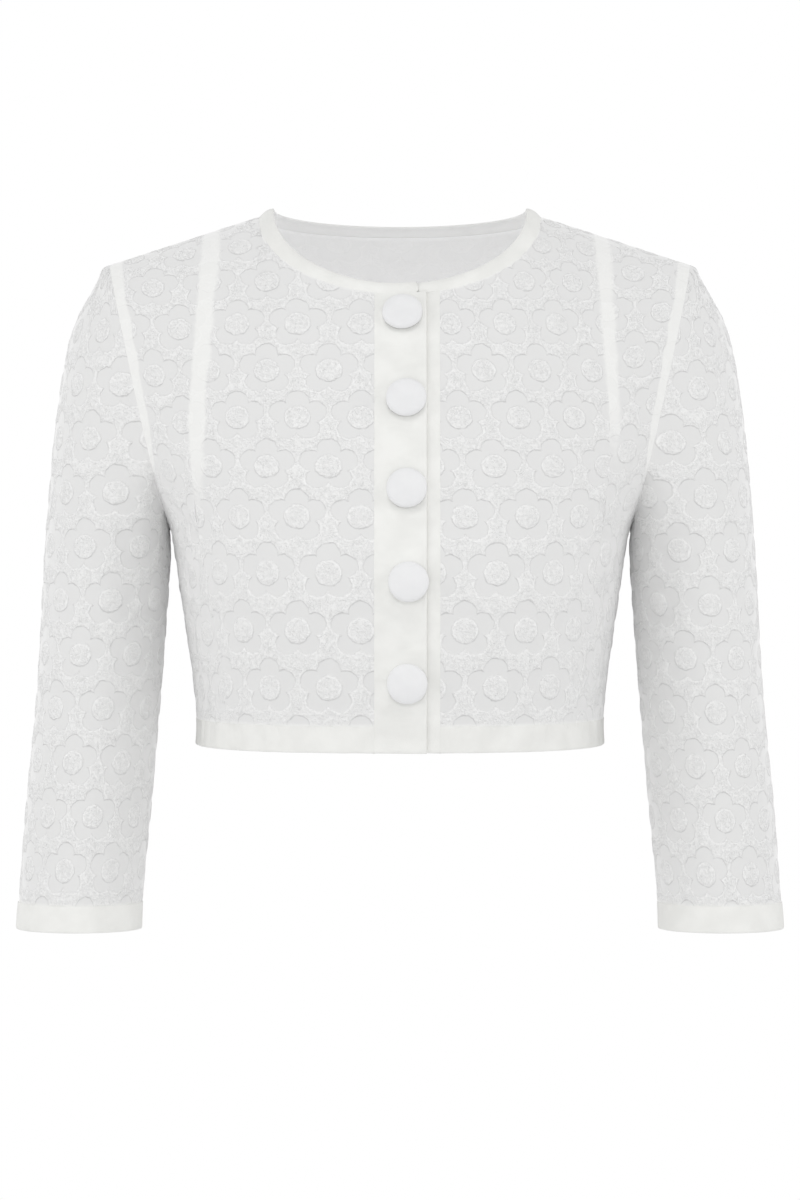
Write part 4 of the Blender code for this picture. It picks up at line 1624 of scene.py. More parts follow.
    def side_front(self, princess: SeamBand) -> ClothGrid:
        """Left side front, from the princess seam with its allowance to the side.

        Args:
            princess: the princess seam's allowance.

        Returns:
            The cloth, without flowers or creases.
        """
        left = self.princess_edge(self.rows)
        right = self.side_edge(Face.FRONT, self.rows)
        columns = round(self.side_width / self.step)
        top_x = np.linspace(PRINCESS[0].x, self.form.shoulder_point_x, self.line_steps)
        top = self.even_edge(top_x, self.form.ridge_drop(top_x), Face.FRONT, columns)
        cloth, drop = self.patch(top, left, right, Face.FRONT)
        from_top, from_hem, first, last = cloth.from_edges()
        cloth.allowance = np.maximum.reduce([
            princess.mask(first, drop),
            self.armhole_band.mask(last, drop),
            self.shoulder_band.mask(from_top, drop),
            self.edge_band.mask(from_hem, drop),
        ])
        return cloth

    def half_back(self) -> ClothGrid:
        """Left half of the back, its columns running from armhole and side seam to the centre line.

        Returns:
            The cloth, without flowers or creases.
        """
        right = self.side_edge(Face.BACK, self.back_rows)
        left = self.upright_edge(0.0, Face.BACK, self.back_rows)
        columns = round(self.half_back_width / self.back_step)
        top = self.top_edge(0.0, self.form.shoulder_point_x, Face.BACK, columns)
        cloth, drop = self.patch(top, left, right, Face.BACK)
        from_top, from_hem, _, last = cloth.from_edges()
        cloth.allowance = np.maximum.reduce([
            self.armhole_band.mask(last, drop),
            self.shoulder_mask(from_top, drop),
            self.edge_band.mask(np.minimum(from_top, from_hem), drop),
        ])
        return ClothGrid(cloth.points[:, ::-1], cloth.flat[:, ::-1], cloth.allowance[:, ::-1])

    def charted(self, cloth: ClothGrid, flower: Pair, fanned: bool = False) -> Array:
        """Places in the repeat of a front panel's points, by the charted rows of flowers.

        Args:
            cloth: the panel.
            flower: one flower's middle, as its flat length across and its row counted from the lowest.
            fanned: whether the columns come together towards the shoulder.

        Returns:
            The places, zero at that flower's middle, and the flowers' squeeze.
        """
        across, up = cloth.flat[..., 0], cloth.flat[..., 1]
        heights = column(FLOWER_ROWS, "up")
        row = smooth_through(heights, np.arange(len(heights), dtype=float), up)
        if fanned:
            across = blend(self.fan_pivot, across, smooth_through(heights, column(FLOWER_ROWS, "fan"), up))
        squeeze = smooth_through(heights, column(FLOWER_ROWS, "squeeze"), up)
        return np.stack([across - flower[0], (row - flower[1]) * self.flowers.row, squeeze], axis=-1)

    def pressed(self, cloth: ClothGrid, creases: Sequence[Crease], face: Face) -> Array:
        """Heights of a panel's creases, whose places are x and drop."""
        to_flat = self.maps[face].place
        return sum(crease.press(cloth.flat, to_flat) for crease in creases)

    def build(self, wardrobe: Wardrobe) -> None:
        """Args:
            wardrobe: what the pieces go to.
        """
        left_front = self.centre_front(self.underlap_seam_x, self.left_princess[0])
        right_front = self.centre_front(self.placket_seam_x, self.right_princess[0])
        side = self.side_front(self.left_princess[1])
        half = self.half_back()
        back = half.joined(half.mirrored())
        left_pressed = self.pressed(left_front, self.front_creases, Face.FRONT)
        right_pressed = self.pressed(right_front, self.front_creases, Face.FRONT)[:, ::-1]
        side_pressed = self.pressed(side, self.side_creases, Face.FRONT)
        back_pressed = self.pressed(back, self.back_creases, Face.BACK)
        right_front = right_front.mirrored()
        right_side = self.side_front(self.right_princess[1]).mirrored()
        parts = (
            ("front_right", right_front, self.charted(right_front, self.right_flower), right_pressed),
            ("front_left", left_front, self.charted(left_front, self.left_flower, True), left_pressed),
            (
                "side_front_right",
                right_side,
                self.charted(right_side, self.side_right_flower),
                side_pressed[:, ::-1],
            ),
            ("side_front_left", side, self.charted(side, self.side_left_flower), side_pressed),
            ("back", back, self.even_pattern(back, self.back_flower), back_pressed),
        )
        for node, cloth, pattern, creases in parts:
            outer, inner = self.finish(cloth, pattern, creases)
            wardrobe.sheet(node, outer, inner, Slot.EMBROIDERED, cloth)


@dataclass
class Sleeves(EmbroideredPanel):
    """Set-in sleeves: sections that fan out over the sleeve head and then go down the arm."""

    step: float = 0.0018
    columns: int = 174
    arm_half_width: float = 0.042
    arm_half_depth: float = 0.056
    table_steps: int = 720
    pattern_scale: Pair = (1.11, 1.045)
    left_flower: Pair = (0.2130, -0.3209)
    right_flower: Pair = (-0.2200, -0.3552)
    creases: tuple[Crease, ...] = (
        Crease((100.0, 0.262), (166.0, 0.285), 0.0016, 0.0075, 0.08),
        Crease((112.0, 0.300), (170.0, 0.312), 0.0012, 0.0070, -0.06),
        Crease((70.0, 0.335), (128.0, 0.352), 0.0008, 0.0080, 0.06),
        Crease((118.0, 0.170), (150.0, 0.232), 0.0013, 0.0065, 0.06),
        Crease((84.0, 0.110), (104.0, 0.200), 0.0009, 0.0085, -0.05),
        Crease((40.0, 0.390), (96.0, 0.405), 0.0006, 0.0080, -0.06),
        Crease((-98.0, 0.258), (-164.0, 0.280), 0.0015, 0.0080, -0.08),
        Crease((-110.0, 0.296), (-168.0, 0.310), 0.0012, 0.0075, 0.06),
        Crease((-58.0, 0.318), (-112.0, 0.338), 0.0012, 0.0085, -0.06),
        Crease((-116.0, 0.165), (-148.0, 0.228), 0.0012, 0.0070, -0.06),
        Crease((-82.0, 0.105), (-100.0, 0.190), 0.0009, 0.0085, 0.05),
        Crease((-36.0, 0.372), (-90.0, 0.392), 0.0009, 0.0085, 0.06),
    )

    def turns(self) -> Array:
        """Turns round a section, from the inner point over the front and the outer point to the back."""
        return np.linspace(np.pi, -np.pi, self.columns + 1)

    def armhole_depths(self) -> Array:
        """Depth of the armhole seam at each turn, where the sleeve's sections start.

        Returns:
            The seam's y at each turn.
        """
        form = self.form
        turns = self.turns()
        drop = blend(form.shoulder_point_drop, form.underarm_drop, (1 - np.cos(turns)) / 2)
        x = np.minimum(form.armhole_x(drop), form.half_width(drop))
        front = form.points(x, drop, Face.FRONT)[:, 1]
        back = form.points(x, drop, Face.BACK)[:, 1]
        return np.where(turns >= 0, front, back)

    def rings(self, rows: Sequence[SleeveRow], at: Union[Array, None] = None) -> tuple[Array, Array]:
        """Closed sections through the rows of a table.

        Each section is half an ellipse in front and half behind, on a straight line from its outer to its
        inner point, with its depth eased from that of the armhole.

        Args:
            rows: the table.
            at: shares of the way along the outer line, or none for even steps.

        Returns:
            The points and their drops.
        """
        outer = np.stack([column(rows, "outer_x"), column(rows, "outer_drop")], axis=-1)
        run = lengths_along(outer, 0)
        if at is None:
            at = np.linspace(0, 1, round(run[-1] / self.step) + 1)
        read = {
            name: smooth_through(run, column(rows, name), at * run[-1])[:, None] for name in SleeveRow._fields
        }
        turns = self.turns()[None]
        part = (1 - np.cos(turns)) / 2
        x = blend(read["outer_x"], read["inner_x"], part)
        drop = blend(read["outer_drop"], read["inner_drop"], part)
        start = self.armhole_depths()[None]
        y = blend(start, read["middle_y"] - read["half_depth"] * np.sin(turns), np.clip(read["settle"], 0, 1))
        return np.stack([x, y, self.form.high_shoulder_z - drop], axis=-1), drop

    def around(self, angle: Array) -> Array:
        """Length round the arm from its outer line to an angle, summed round an ellipse."""
        turn = np.linspace(0, np.pi, self.table_steps)
        points = np.stack([self.arm_half_width * np.cos(turn), self.arm_half_depth * np.sin(turn)], axis=-1)
        return np.sign(angle) * np.interp(np.abs(angle), turn, lengths_along(points, 0))

    def to_flat(self, degrees: float, drop: float) -> Array:
        """Flat place from degrees round the arm, forward from its outer line, and a drop."""
        return np.array([float(self.around(np.array(math.radians(degrees)))), -drop])

    def flat(self, points: Array, drop: Array) -> Array:
        """Flat places: round the arm from its outer line, forward, and up."""
        x = (points[..., 0] - table_column(ARM_LINE, "x", drop)) / self.arm_half_width
        y = np.abs(points[..., 1] - table_column(ARM_LINE, "y", drop)) / self.arm_half_depth
        angle = np.arctan2(y, x) * np.where(self.turns() >= 0, 1.0, -1.0)[None]
        return np.stack([self.around(angle), -drop], axis=-1)

    @staticmethod
    def flower_place(cloth: ClothGrid, flower: Pair) -> Array:
        """Flat place of a flower's middle, given as x and z on the front of a sleeve."""
        x, y, z = np.moveaxis(cloth.points, -1, 0)
        away = np.hypot(x - flower[0], z - flower[1])
        away = np.where(y < y.mean(axis=1, keepdims=True), away, np.inf)
        return cloth.flat.reshape(-1, 2)[np.argmin(away)]

    def sleeve(self) -> ClothGrid:
        """Sleeve of the wearer's left from the armhole seam to the cuff seam.

        Returns:
            The cloth, without flowers or creases.
        """
        form = self.form
        start = SleeveRow(
            form.shoulder_point_x, form.shoulder_point_drop, form.underarm_x, form.underarm_drop,
            SLEEVE[0].half_depth, SLEEVE[0].middle_y, 0.0,
        )
        points, drop = self.rings((start, *SLEEVE))
        cloth = ClothGrid(points, self.flat(points, drop), np.zeros(drop.shape), wrapped=True)
        cloth.allowance = self.edge_band.mask(cloth.from_edges()[1], drop)
        return cloth

    def build(self, wardrobe: Wardrobe) -> None:
        """Builds both sleeves.

        Args:
            wardrobe: what the pieces go to.
        """
        cloth = self.sleeve()
        pressed = sum(crease.press(cloth.flat, self.to_flat) for crease in self.creases)
        parts = (
            ("right", cloth.mirrored(), self.right_flower, pressed[:, ::-1]),
            ("left", cloth, self.left_flower, pressed),
        )
        for hand, plain, flower, creases in parts:
            pattern = self.even_pattern(plain, self.flower_place(plain, flower), self.pattern_scale)
            outer, inner = self.finish(plain, pattern, creases)
            wardrobe.sheet("sleeve_" + hand, outer, inner, Slot.EMBROIDERED, plain)


@dataclass(frozen=True)
class Rounding:
    """How one face of a band comes down to the band's middle at an edge."""

    radius: float
    least: float = 0.12

    def share(self, distance: Array) -> Array:
        """Share of half the thickness at a distance from the edge: a quarter circle."""
        part = np.clip(distance / self.radius, 0, 1)
        return self.least + (1 - self.least) * np.sqrt(1 - (1 - part) ** 2)


class BandEdge(Enum):
    """How an edge of a band ends: the roundings of its outer and its inner face."""

    FOLD = (Rounding(0.0014), Rounding(0.0014))
    ROLL = (Rounding(0.0042), Rounding(0.0030))
    TAIL = (Rounding(0.0060, -0.75), Rounding(0.0014, 0.9))
    SEAM = (Rounding(0.0008, 1.0), Rounding(0.0040, -0.8))


@dataclass
class Bands:
    """Doubled bands: neck binding, button front strips, hem bands and cuffs."""

    form: TorsoForm
    sleeves: Sleeves
    thickness: float = 0.0017
    seam_proud: float = 0.0004
    cuff_proud: float = 0.0009
    binding_crown: float = 0.0010
    step: float = 0.0020
    across_steps: int = 16
    placket_seam_x: float = -0.017
    placket_edge_x: float = 0.0177
    underlap_seam_x: float = 0.0265
    underlap_edge_x: float = -0.008
    binding_over_end_x: float = 0.0125
    binding_under_end_x: float = -0.004
    lap_lift: float = 0.0012
    lap_sink: float = 0.0022
    lap_ease: float = 0.0165
    binding_lap_ease: float = 0.0290
    lap_landing: float = 0.0015
    wave_height: float = 0.00026
    wave_length: float = 0.023
    ripple_height: float = 0.00022
    ripple_length: float = 0.0083
    ripple_reach: float = 0.0060
    wave_drift: Pair = (1.9, 0.31)
    ripple_drift: Pair = (2.3, 0.23)
    cuff_waves: int = 11
    cuff_slow_waves: int = 3
    cuff_drift: float = 1.2
    placket_length: float = 0.335
    front_hem_length: float = 0.24
    back_hem_length: float = 0.36
    front_neck_length: float = 0.16
    back_neck_length: float = 0.20
    end_shares: Pair = (0.0006, 0.003)
    placket_creases: tuple[Crease, ...] = (
        Crease((-0.0150, 0.0920), (0.0120, 0.1010), 0.00085, 0.0030, 0.08),
        Crease((0.0165, 0.1060), (-0.0050, 0.1150), 0.00070, 0.0026, -0.08),
        Crease((-0.0165, 0.1290), (-0.0060, 0.1330), 0.00070, 0.0022, 0.05),
        Crease((-0.0155, 0.1500), (0.0135, 0.1570), 0.00090, 0.0031, 0.10),
        Crease((0.0160, 0.1660), (-0.0100, 0.1760), 0.00075, 0.0028, -0.06),
        Crease((-0.0165, 0.1890), (-0.0065, 0.1915), 0.00070, 0.0022, -0.05),
        Crease((-0.0150, 0.2080), (0.0140, 0.2180), 0.00090, 0.0032, 0.08),
        Crease((0.0165, 0.2240), (-0.0080, 0.2340), 0.00080, 0.0027, 0.07),
        Crease((-0.0160, 0.2500), (-0.0060, 0.2535), 0.00075, 0.0023, 0.05),
        Crease((-0.0150, 0.2700), (0.0130, 0.2790), 0.00095, 0.0033, -0.08),
        Crease((0.0165, 0.2880), (-0.0090, 0.2990), 0.00080, 0.0029, 0.08),
        Crease((-0.0165, 0.3150), (-0.0060, 0.3200), 0.00075, 0.0023, -0.05),
        Crease((-0.0150, 0.3370), (0.0140, 0.3450), 0.00090, 0.0034, 0.07),
    )

    def close_at_edges(self, count: int) -> Array:
        """Shares from 0 to 1 that lie close together at both ends."""
        return (1 - np.cos(np.linspace(0, np.pi, count + 1))) / 2

    def over_lift(self, x: Array) -> Array:
        """How far the right front edge rises to lap over the left one."""
        return self.lap_lift * ease((x - self.placket_seam_x) / (self.placket_edge_x - self.placket_seam_x))

    def under_sink(self, x: Array, reach: float) -> Array:
        """How far the left front edge sinks below the right one, in an ease of a given reach."""
        return -self.lap_sink * ease((self.underlap_seam_x - self.lap_landing - x) / reach)

    def wave(self, along: Array) -> Array:
        """Slight unevenness along a band."""
        turn = 2 * np.pi * along / self.wave_length
        drift, slow = self.wave_drift
        return self.wave_height * waver(turn, drift, slow * turn)

    def ripples(self, points: Array) -> Array:
        """Slight unevenness along a hem band, with short ripples beside its seam that die away from it.

        Args:
            points: points of the band.

        Returns:
            Heights in metres.
        """
        run = lengths_along(points, 1)
        turn = 2 * np.pi * run / self.ripple_length
        drift, slow = self.ripple_drift
        ripple = waver(turn, drift, slow * turn) * np.exp(-lengths_along(points, 0) / self.ripple_reach)
        return self.wave(run) + self.ripple_height * ripple

    def thick(self, cloth: ClothGrid, edges: Sequence[Union[BandEdge, None]]) -> tuple[ClothGrid, Array]:
        """Gives a band its thickness, thinning towards its edges.

        The middle of the band lies half a thickness under its face, and each face keeps its share of half
        the thickness from it.

        Args:
            cloth: the band's face.
            edges: how the top, bottom, first and last edges end.

        Returns:
            The rounded outer face and the points of the inner face.
        """
        shares = [np.ones(cloth.points.shape[:2]) for _ in range(2)]
        for edge, distance in zip(edges, cloth.from_edges()):
            if edge is not None:
                shares = [np.minimum(share, face.share(distance)) for share, face in zip(shares, edge.value)]
        half = self.thickness / 2
        normals = cloth.normals()
        middle = cloth.points - half * normals
        outer = replace(cloth, points=middle + (half * shares[0])[..., None] * normals)
        return outer, middle - (half * shares[1])[..., None] * normals

    @staticmethod
    def strip(points: Array, wrapped: bool = False) -> ClothGrid:
        """Band whose flat places are its own lengths, along and up."""
        along = lengths_along(points, 1).mean(axis=0)
        down = lengths_along(points, 0).mean(axis=1)
        flat = np.stack(np.broadcast_arrays(along[None], -down[:, None]), axis=-1)
        return ClothGrid(points, flat, np.zeros(points.shape[:2]), wrapped)

    def placket(self, start_x: float, end_x: float, lift: Callable[[Array], Array]) -> ClothGrid:
        """Front strip between two distances from the middle, from the binding's seam to the bottom edge.

        Args:
            start_x: x of the first column.
            end_x: x of the last column.
            lift: how far a point at x stands out.

        Returns:
            The band's face.
        """
        x = blend(start_x, end_x, self.close_at_edges(self.across_steps * 2))[None]
        top = self.form.neck_seam(x, Face.FRONT)
        rows = round(self.placket_length / self.step)
        near, inner = self.end_shares
        shares = np.concatenate([[0.0, near], np.linspace(inner, 1 - inner, rows), [1 - near, 1.0]])
        drop = blend(top, self.form.hem_drop, shares[:, None])
        points = self.form.points(np.broadcast_to(x, drop.shape), drop, Face.FRONT)
        cloth = self.strip(points)
        return cloth.moved_out(self.seam_proud + lift(points[..., 0]) + self.wave(lengths_along(points, 0)))

    def wrinkles(self, cloth: ClothGrid) -> Array:
        """Heights of the button strip's creases, whose places are x and drop."""
        places = np.stack([cloth.points[..., 0], self.form.high_shoulder_z - cloth.points[..., 2]], axis=-1)
        return sum(crease.press(places, lambda *place: np.array(place)) for crease in self.placket_creases)

    def hem_drops(self) -> Array:
        """Drops of a hem band's rows, close together at its edges."""
        shares = self.close_at_edges(self.across_steps)
        return blend(self.form.hem_seam_drop, self.form.hem_drop, shares)[:, None]

    def hem(self, start: Union[Array, float], end: float, length: float, face: Face) -> ClothGrid:
        """Hem band between two turns round the torso, of about a length, with ripples beside its seam.

        Args:
            start: turn of the first column, for all rows or for each.
            end: turn of the last column.
            length: length that sets the number of columns.
            face: front or back.

        Returns:
            The band's face.
        """
        drop = self.hem_drops()
        turn = blend(start, end, np.linspace(0, 1, round(length / self.step) + 1)[None])
        points = self.form.points(self.form.half_width(drop) * np.sin(turn), drop + 0 * turn, face)
        return self.strip(points).moved_out(self.seam_proud + self.ripples(points))

    def front_hem(self, inner_x: float) -> ClothGrid:
        """Hem band of the wearer's left front, from its placket seam to the side seam."""
        start = self.form.turn_of(inner_x, self.hem_drops())
        return self.hem(start, np.pi / 2, self.front_hem_length, Face.FRONT)

    def cuff(self) -> ClothGrid:
        """Cuff band of the wearer's left sleeve, with whole waves round it.

        Returns:
            The band's face.
        """
        points, _ = self.sleeves.rings(CUFF, self.close_at_edges(self.across_steps))
        run = lengths_along(points, 1)
        turn = 2 * np.pi * run / run[:, -1:]
        wave = self.wave_height * waver(self.cuff_waves * turn, self.cuff_drift, self.cuff_slow_waves * turn)
        return self.strip(points, wrapped=True).moved_out(self.cuff_proud + wave)

    def binding_sections(
        self, share: Array, face: Face, lift: Callable[[Array], Array]
    ) -> tuple[Array, Array]:
        """Sections of the binding, from its edge to its seam, at shares of the neck's half width.

        The edge stands a little above the shoulder seam's line, so its fullness goes by its own drop.

        Args:
            share: signed shares of the half width, 1 at the shoulder.
            face: front or back.
            lift: how far a section at x stands out.

        Returns:
            The points and how far they stand out.
        """
        form = self.form
        depth = form.neck_front_drop if face is Face.FRONT else form.neck_back_drop
        part = self.close_at_edges(self.across_steps)[:, None]
        share = share[None]
        edge_x = form.neck_half_width * share
        seam_x = (form.neck_half_width + form.binding_at_side) * share
        edge_drop = depth * np.sqrt(np.clip(1 - share**2, 0, 1))
        seam_drop = form.neck_seam(seam_x, face)
        seam_below = np.maximum(seam_drop - form.ridge_drop(seam_x), 0)
        points = form.points(
            blend(edge_x, seam_x, part),
            blend(edge_drop, seam_drop, part),
            face,
            blend(edge_drop, seam_below, part),
        )
        crown = self.binding_crown * np.sin(np.pi * part)
        return points, self.seam_proud + crown + lift(seam_x)

    def binding(self) -> ClothGrid:
        """Neck binding from its under end, round the left neck, back and right neck, to its over end.

        Returns:
            The band's face.
        """
        width = self.form.neck_half_width + self.form.binding_at_side
        under = math.asin(self.binding_under_end_x / width)
        over = math.asin(self.binding_over_end_x / width)
        columns = round(self.front_neck_length / self.step)
        back_columns = round(self.back_neck_length / self.step)
        left = np.sin(np.linspace(under, math.pi / 2, columns + 1))
        back = np.sin(np.linspace(math.pi / 2, -math.pi / 2, back_columns + 1))[1:-1]
        right = np.sin(np.linspace(-math.pi / 2, over, columns + 1))
        sections = (
            self.binding_sections(left, Face.FRONT, lambda x: self.under_sink(x, self.binding_lap_ease)),
            self.binding_sections(back, Face.BACK, np.zeros_like),
            self.binding_sections(right, Face.FRONT, self.over_lift),
        )
        points = np.concatenate([section[0] for section in sections], axis=1)
        proud = np.concatenate([section[1] for section in sections], axis=1)
        return self.strip(points).moved_out(proud)

    def build(self, wardrobe: Wardrobe) -> None:
        """Builds every band.

        Args:
            wardrobe: what the pieces go to.
        """
        over = self.placket(self.placket_seam_x, self.placket_edge_x, self.over_lift)
        over = over.moved_out(self.wrinkles(over))
        under = self.placket(
            self.underlap_edge_x, self.underlap_seam_x, lambda x: self.under_sink(x, self.lap_ease)
        )
        right_hem = self.front_hem(-self.placket_seam_x).mirrored()
        left_hem = self.front_hem(self.underlap_seam_x)
        back_hem = self.hem(np.pi / 2, -np.pi / 2, self.back_hem_length, Face.BACK)
        cuff = self.cuff()
        fold, roll, tail, seam = BandEdge.FOLD, BandEdge.ROLL, BandEdge.TAIL, BandEdge.SEAM
        parts = (
            ("neck_binding", self.binding(), (roll, seam, fold, tail), ("front_right", "front_left", "back")),
            ("placket_right", over, (seam, fold, seam, fold), ("front_right",)),
            ("placket_left", under, (seam, fold, fold, seam), ("front_left",)),
            ("hem_right", right_hem, (seam, fold, seam, seam), ("front_right", "side_front_right")),
            ("hem_left", left_hem, (seam, fold, seam, seam), ("front_left", "side_front_left")),
            ("hem_back", back_hem, (seam, fold, seam, seam), ("back",)),
            ("cuff_right", cuff.mirrored(), (seam, fold, None, None), ("sleeve_right",)),
            ("cuff_left", cuff, (seam, fold, None, None), ("sleeve_left",)),
        )
        for node, cloth, edges, rests_on in parts:
            outer, inner = self.thick(cloth, edges)
            wardrobe.sheet(node, outer, inner, Slot.DOUBLED, cloth)


@dataclass
class CoveredButtons:
    """Domed buttons covered with cloth, turned from a half section and hanging a little forward."""

    form: TorsoForm
    bands: Bands
    radius: float = 0.0134
    height: float = 0.0070
    dome_power: float = 2.7
    rim_height: float = 0.0026
    underside: float = 0.0017
    shank_radius: float = 0.0042
    sink: float = 0.0001
    lean: float = math.radians(6.0)
    lean_range: Pair = (math.radians(1.5), math.radians(11.0))
    lean_share: float = 1.3
    clearance: float = 0.0002
    open_below: float = -0.55
    open_softness: float = 0.5
    round_steps: int = 72
    dome_steps: int = 22
    rim_steps: int = 8
    gather_count: int = 26
    gather_height: float = 0.00010
    gather_spread: float = 0.0012
    gather_from: float = 0.6
    crown_turn: float = 0.02
    level_span: float = 0.002

    def profile(self) -> Array:
        """Half section as radius and height: a quarter superellipse, a rounded rim, underside and shank.

        Returns:
            The points, from the crown to the shank's foot.
        """
        dome = np.linspace(self.crown_turn, np.pi / 2, self.dome_steps + 1)
        bend = 2 / self.dome_power
        top = np.stack([
            self.radius * np.sin(dome) ** bend,
            self.rim_height + (self.height - self.rim_height) * np.abs(np.cos(dome)) ** bend,
        ], axis=-1)
        rim = np.linspace(0, np.pi / 2, self.rim_steps + 1)[1:]
        tuck = self.rim_height - self.underside
        under_radius = self.radius - tuck * (1 - np.cos(rim))
        under = np.stack([under_radius, self.rim_height - tuck * np.sin(rim)], axis=-1)
        foot = np.array([[self.shank_radius, self.underside], [self.shank_radius, -self.sink]])
        return np.concatenate([top, under, foot])

    def seat(self, place: ButtonPlace) -> tuple[Array, Array, float]:
        """Point on the placket's face under a button, its directions across, up and out, and its lean.

        A button leans back more where the placket faces down.

        Args:
            place: the button's middle.

        Returns:
            The point, the three directions as rows and the lean in radians.
        """
        span = self.level_span * np.array([-1.0, 0.0, 1.0])
        x, drop = np.meshgrid(place.x + span, place.drop + span)
        points = self.form.points(x, drop, Face.FRONT)
        face = ClothGrid(points, x[..., None], x).moved_out(self.bands.seam_proud + self.bands.over_lift(x))
        out = face.normals()[1, 1]
        across = np.cross(np.array([0.0, 0.0, 1.0]), out)
        across /= np.linalg.norm(across)
        up = np.cross(out, across)
        lean = float(np.clip(self.lean - self.lean_share * np.arcsin(out[2]), *self.lean_range))
        leaning = math.cos(lean) * out + math.sin(lean) * up
        return face.points[1, 1], np.stack([across, np.cross(leaning, across), leaning]), lean

    def mesh(self, name: str, place: ButtonPlace) -> Mesh:
        """Button of one place: its half section turned round, with the cover's small gathers at the rim.

        Args:
            name: the mesh's name.
            place: the button's middle.

        Returns:
            The mesh, with its flat places as a UV layer.
        """
        section = self.profile()
        origin, axes, lean = self.seat(place)
        turn = np.linspace(0, 2 * np.pi, self.round_steps, endpoint=False)[None]
        radius = section[:, :1]
        near_rim = np.exp(-(((section[:, 1:] - self.underside) / self.gather_spread) ** 2))
        near_rim = near_rim * (radius > self.gather_from * self.radius)
        gathers = self.gather_height * near_rim * np.sin(self.gather_count * turn)
        height = np.broadcast_to(section[:, 1:], gathers.shape)
        strip = radius * np.sin(turn) * math.tan(lean) + self.clearance
        closing = ease((np.sin(turn) - self.open_below) / self.open_softness + 0.5)
        skirt = closing * ease((self.rim_height - height) / (self.rim_height - self.underside))
        height = np.where(radius > self.shank_radius, blend(height, np.minimum(strip, height), skirt), height)
        wide = radius + gathers
        local = np.stack([wide * np.cos(turn), wide * np.sin(turn), height], axis=-1)
        rings = origin + local @ axes
        top = origin + self.height * axes[2]
        foot = origin - self.sink * axes[2]
        points = np.concatenate([rings.reshape(-1, 3), [top, foot]])
        count = self.round_steps
        number = np.arange(len(section))[:, None] * count + np.arange(count + 1)[None] % count
        top_number = len(points) - 2
        caps = [(top_number, a, b) for a, b in zip(number[0, :-1], number[0, 1:])]
        caps += [(top_number + 1, b, a) for a, b in zip(number[-1, :-1], number[-1, 1:])]
        mesh = bpy.data.meshes.new(name)
        mesh.from_pydata(points.tolist(), [], quads(number).tolist() + caps)
        mesh.validate()
        mesh.shade_smooth()
        flat = np.concatenate([local[..., :2].reshape(-1, 2), np.zeros((2, 2))])
        loops = np.empty(len(mesh.loops), dtype=np.int32)
        mesh.loops.foreach_get("vertex_index", loops)
        mesh.uv_layers.new(name=FLAT_LAYER).data.foreach_set("uv", flat[loops].ravel())
        return mesh

    def build(self, wardrobe: Wardrobe) -> None:
        """Builds the row of buttons.

        Args:
            wardrobe: what the pieces go to.
        """
        for number, place in enumerate(BUTTON_PLACES, start=1):
            mesh = self.mesh(f"button_{number}_covered", place)
            wardrobe.hang(f"button_{number}", mesh, (wardrobe.finishes.button,))


class Lamp(NamedTuple):
    """One square soft lamp: the length of its sides in metres, its power in watts."""

    name: str
    place: Triple
    size: float
    power: float


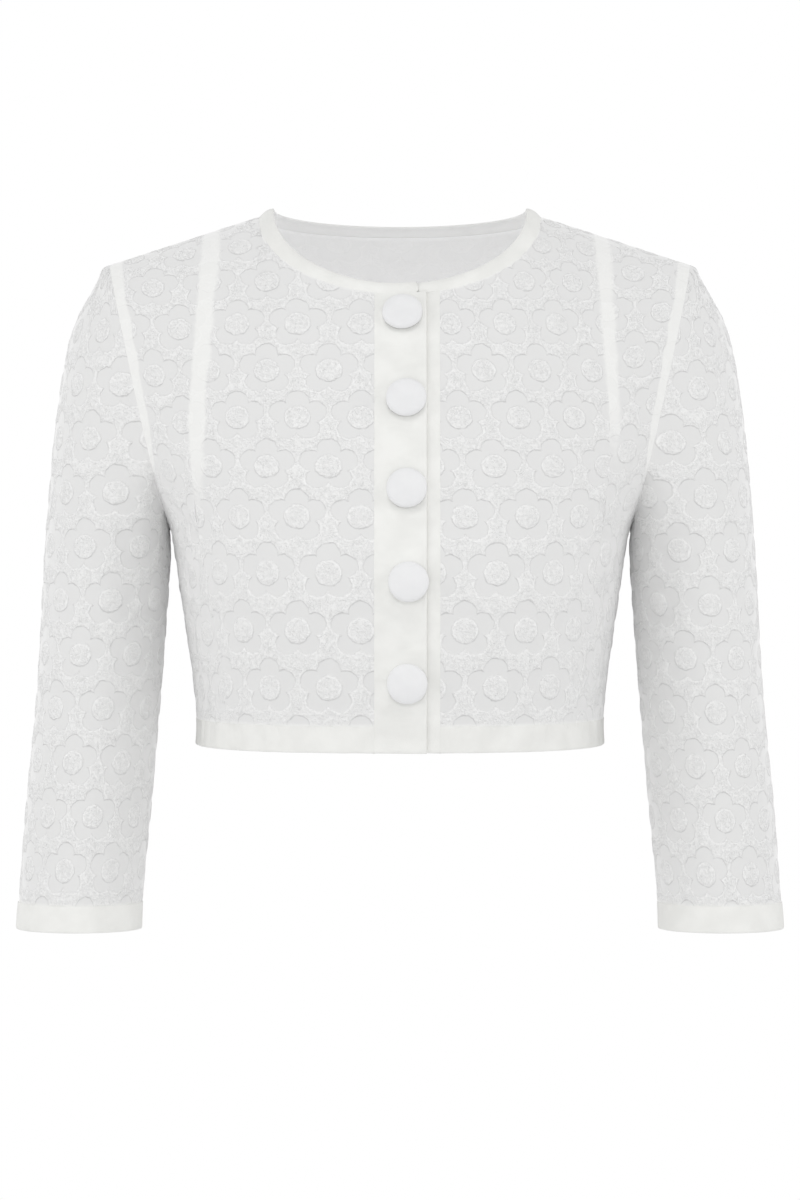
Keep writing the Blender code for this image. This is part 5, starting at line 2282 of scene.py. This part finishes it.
@dataclass
class Studio:
    """Camera, soft lights, white surround and pale floor."""

    camera_place: Triple = (0.0, -4.0, -0.135)
    camera_aim: Triple = (0.0, 0.0, -0.247)
    lens: float = 176.0
    sensor: float = 36.0
    floor_z: float = -1.35
    floor_radius: float = 3.2
    floor_tone: Colour = (0.88, 0.88, 0.88)
    surround_light: float = 0.70
    clip_end: float = 60.0
    floor_sides: int = 96
    floor_shade: Colour = (0.84, 0.84, 0.84)
    floor_roughness: float = 0.9
    mottles_per_metre: float = 3.0
    mottle_share: float = 0.3
    lamp_aim: Triple = (0.0, -0.05, -0.16)
    lamps: tuple[Lamp, ...] = (
        Lamp("key_lamp", (-0.15, -1.8, 2.7), 0.7, 12.0),
        Lamp("front_lamp", (0.0, -3.7, 0.95), 0.22, 14.0),
        Lamp("left_lamp", (-2.5, -1.1, 0.3), 1.6, 12.0),
        Lamp("right_lamp", (2.5, -1.1, 0.3), 1.6, 11.0),
        Lamp("low_lamp", (0.0, -2.6, -1.1), 1.6, 8.5),
        Lamp("back_left_lamp", (-2.0, 2.0, 0.4), 1.6, 5.5),
        Lamp("back_right_lamp", (2.0, 2.0, 0.4), 1.6, 5.5),
    )

    def aimed(self, thing: Object, place: Sequence[float], aim: Sequence[float]) -> None:
        """Puts a lamp or camera at a place, turned towards a point."""
        thing.location = place
        thing.rotation_mode = "QUATERNION"
        thing.rotation_quaternion = (Vector(aim) - Vector(place)).to_track_quat("-Z", "Y")
        bpy.context.scene.collection.objects.link(thing)

    def camera(self) -> None:
        """Long lens straight in front."""
        lens = bpy.data.cameras.new("front_camera")
        lens.sensor_fit = "AUTO"
        lens.sensor_width = self.sensor
        lens.lens = self.lens
        lens.clip_end = self.clip_end
        camera = bpy.data.objects.new("front_camera", lens)
        self.aimed(camera, self.camera_place, self.camera_aim)
        bpy.context.scene.camera = camera

    def light(self, lamp: Lamp) -> None:
        """Lights a lamp that is aimed at the chest.

        Args:
            lamp: its place, size and power.
        """
        light = bpy.data.lights.new(lamp.name, "AREA")
        light.shape = "SQUARE"
        light.size = lamp.size
        light.energy = lamp.power
        self.aimed(bpy.data.objects.new(lamp.name, light), lamp.place, self.lamp_aim)

    def surround(self) -> None:
        """Plain white surround, brighter to the camera than as a light."""
        world = bpy.data.worlds.new("surround")
        world.use_nodes = True
        graph = Graph(world.node_tree)
        light = world.node_tree.nodes["Background"]
        seen = graph.add("ShaderNodeBackground")
        for background, strength in ((light, self.surround_light), (seen, 1.0)):
            background.inputs["Color"].default_value = (1.0, 1.0, 1.0, 1.0)
            background.inputs["Strength"].default_value = strength
        chosen = graph.add("ShaderNodeMixShader")
        graph.feed(chosen.inputs[0], graph.add("ShaderNodeLightPath").outputs["Is Camera Ray"])
        graph.feed(chosen.inputs[1], light.outputs[0])
        graph.feed(chosen.inputs[2], seen.outputs[0])
        graph.feed(world.node_tree.nodes["World Output"].inputs["Surface"], chosen.outputs[0])
        bpy.context.scene.world = world

    def floor(self) -> None:
        """Round pale floor well below the garment."""
        turn = np.linspace(0, 2 * np.pi, self.floor_sides, endpoint=False)
        circle = np.stack([np.cos(turn), np.sin(turn), 0 * turn], axis=-1) * self.floor_radius
        mesh = bpy.data.meshes.new("floor")
        mesh.from_pydata((circle + np.array([0, 0, self.floor_z])).tolist(), [], [list(range(len(circle)))])
        material, graph, shader = new_material("pale_floor")
        place = graph.add("ShaderNodeTexCoord").outputs["Object"]
        mottle = graph.times(graph.noise(place, self.mottles_per_metre), self.mottle_share)
        graph.feed(shader.inputs["Base Color"], graph.tint(mottle, self.floor_tone, self.floor_shade))
        shader.inputs["Roughness"].default_value = self.floor_roughness
        mesh.materials.append(material)
        floor = bpy.data.objects.new("floor", mesh)
        bpy.context.scene.collection.objects.link(floor)

    def build(self) -> None:
        """Sets up camera, lights, surround and floor."""
        self.camera()
        for lamp in self.lamps:
            self.light(lamp)
        self.surround()
        self.floor()
        bpy.context.scene.view_settings.view_transform = "Standard"


def main() -> None:
    """Builds the garment piece by piece and the studio round it."""
    logging.basicConfig(level=logging.INFO, format="%(message)s")
    form = TorsoForm()
    flowers = FlowerRepeat()
    wardrobe = Wardrobe(Finishes.made(flowers))
    Studio().build()
    Torso(form, flowers).build(wardrobe)
    sleeves = Sleeves(form, flowers)
    sleeves.build(wardrobe)
    bands = Bands(form, sleeves)
    bands.build(wardrobe)
    CoveredButtons(form, bands).build(wardrobe)
    bpy.context.view_layer.update()


if __name__ == "__main__":
    main()
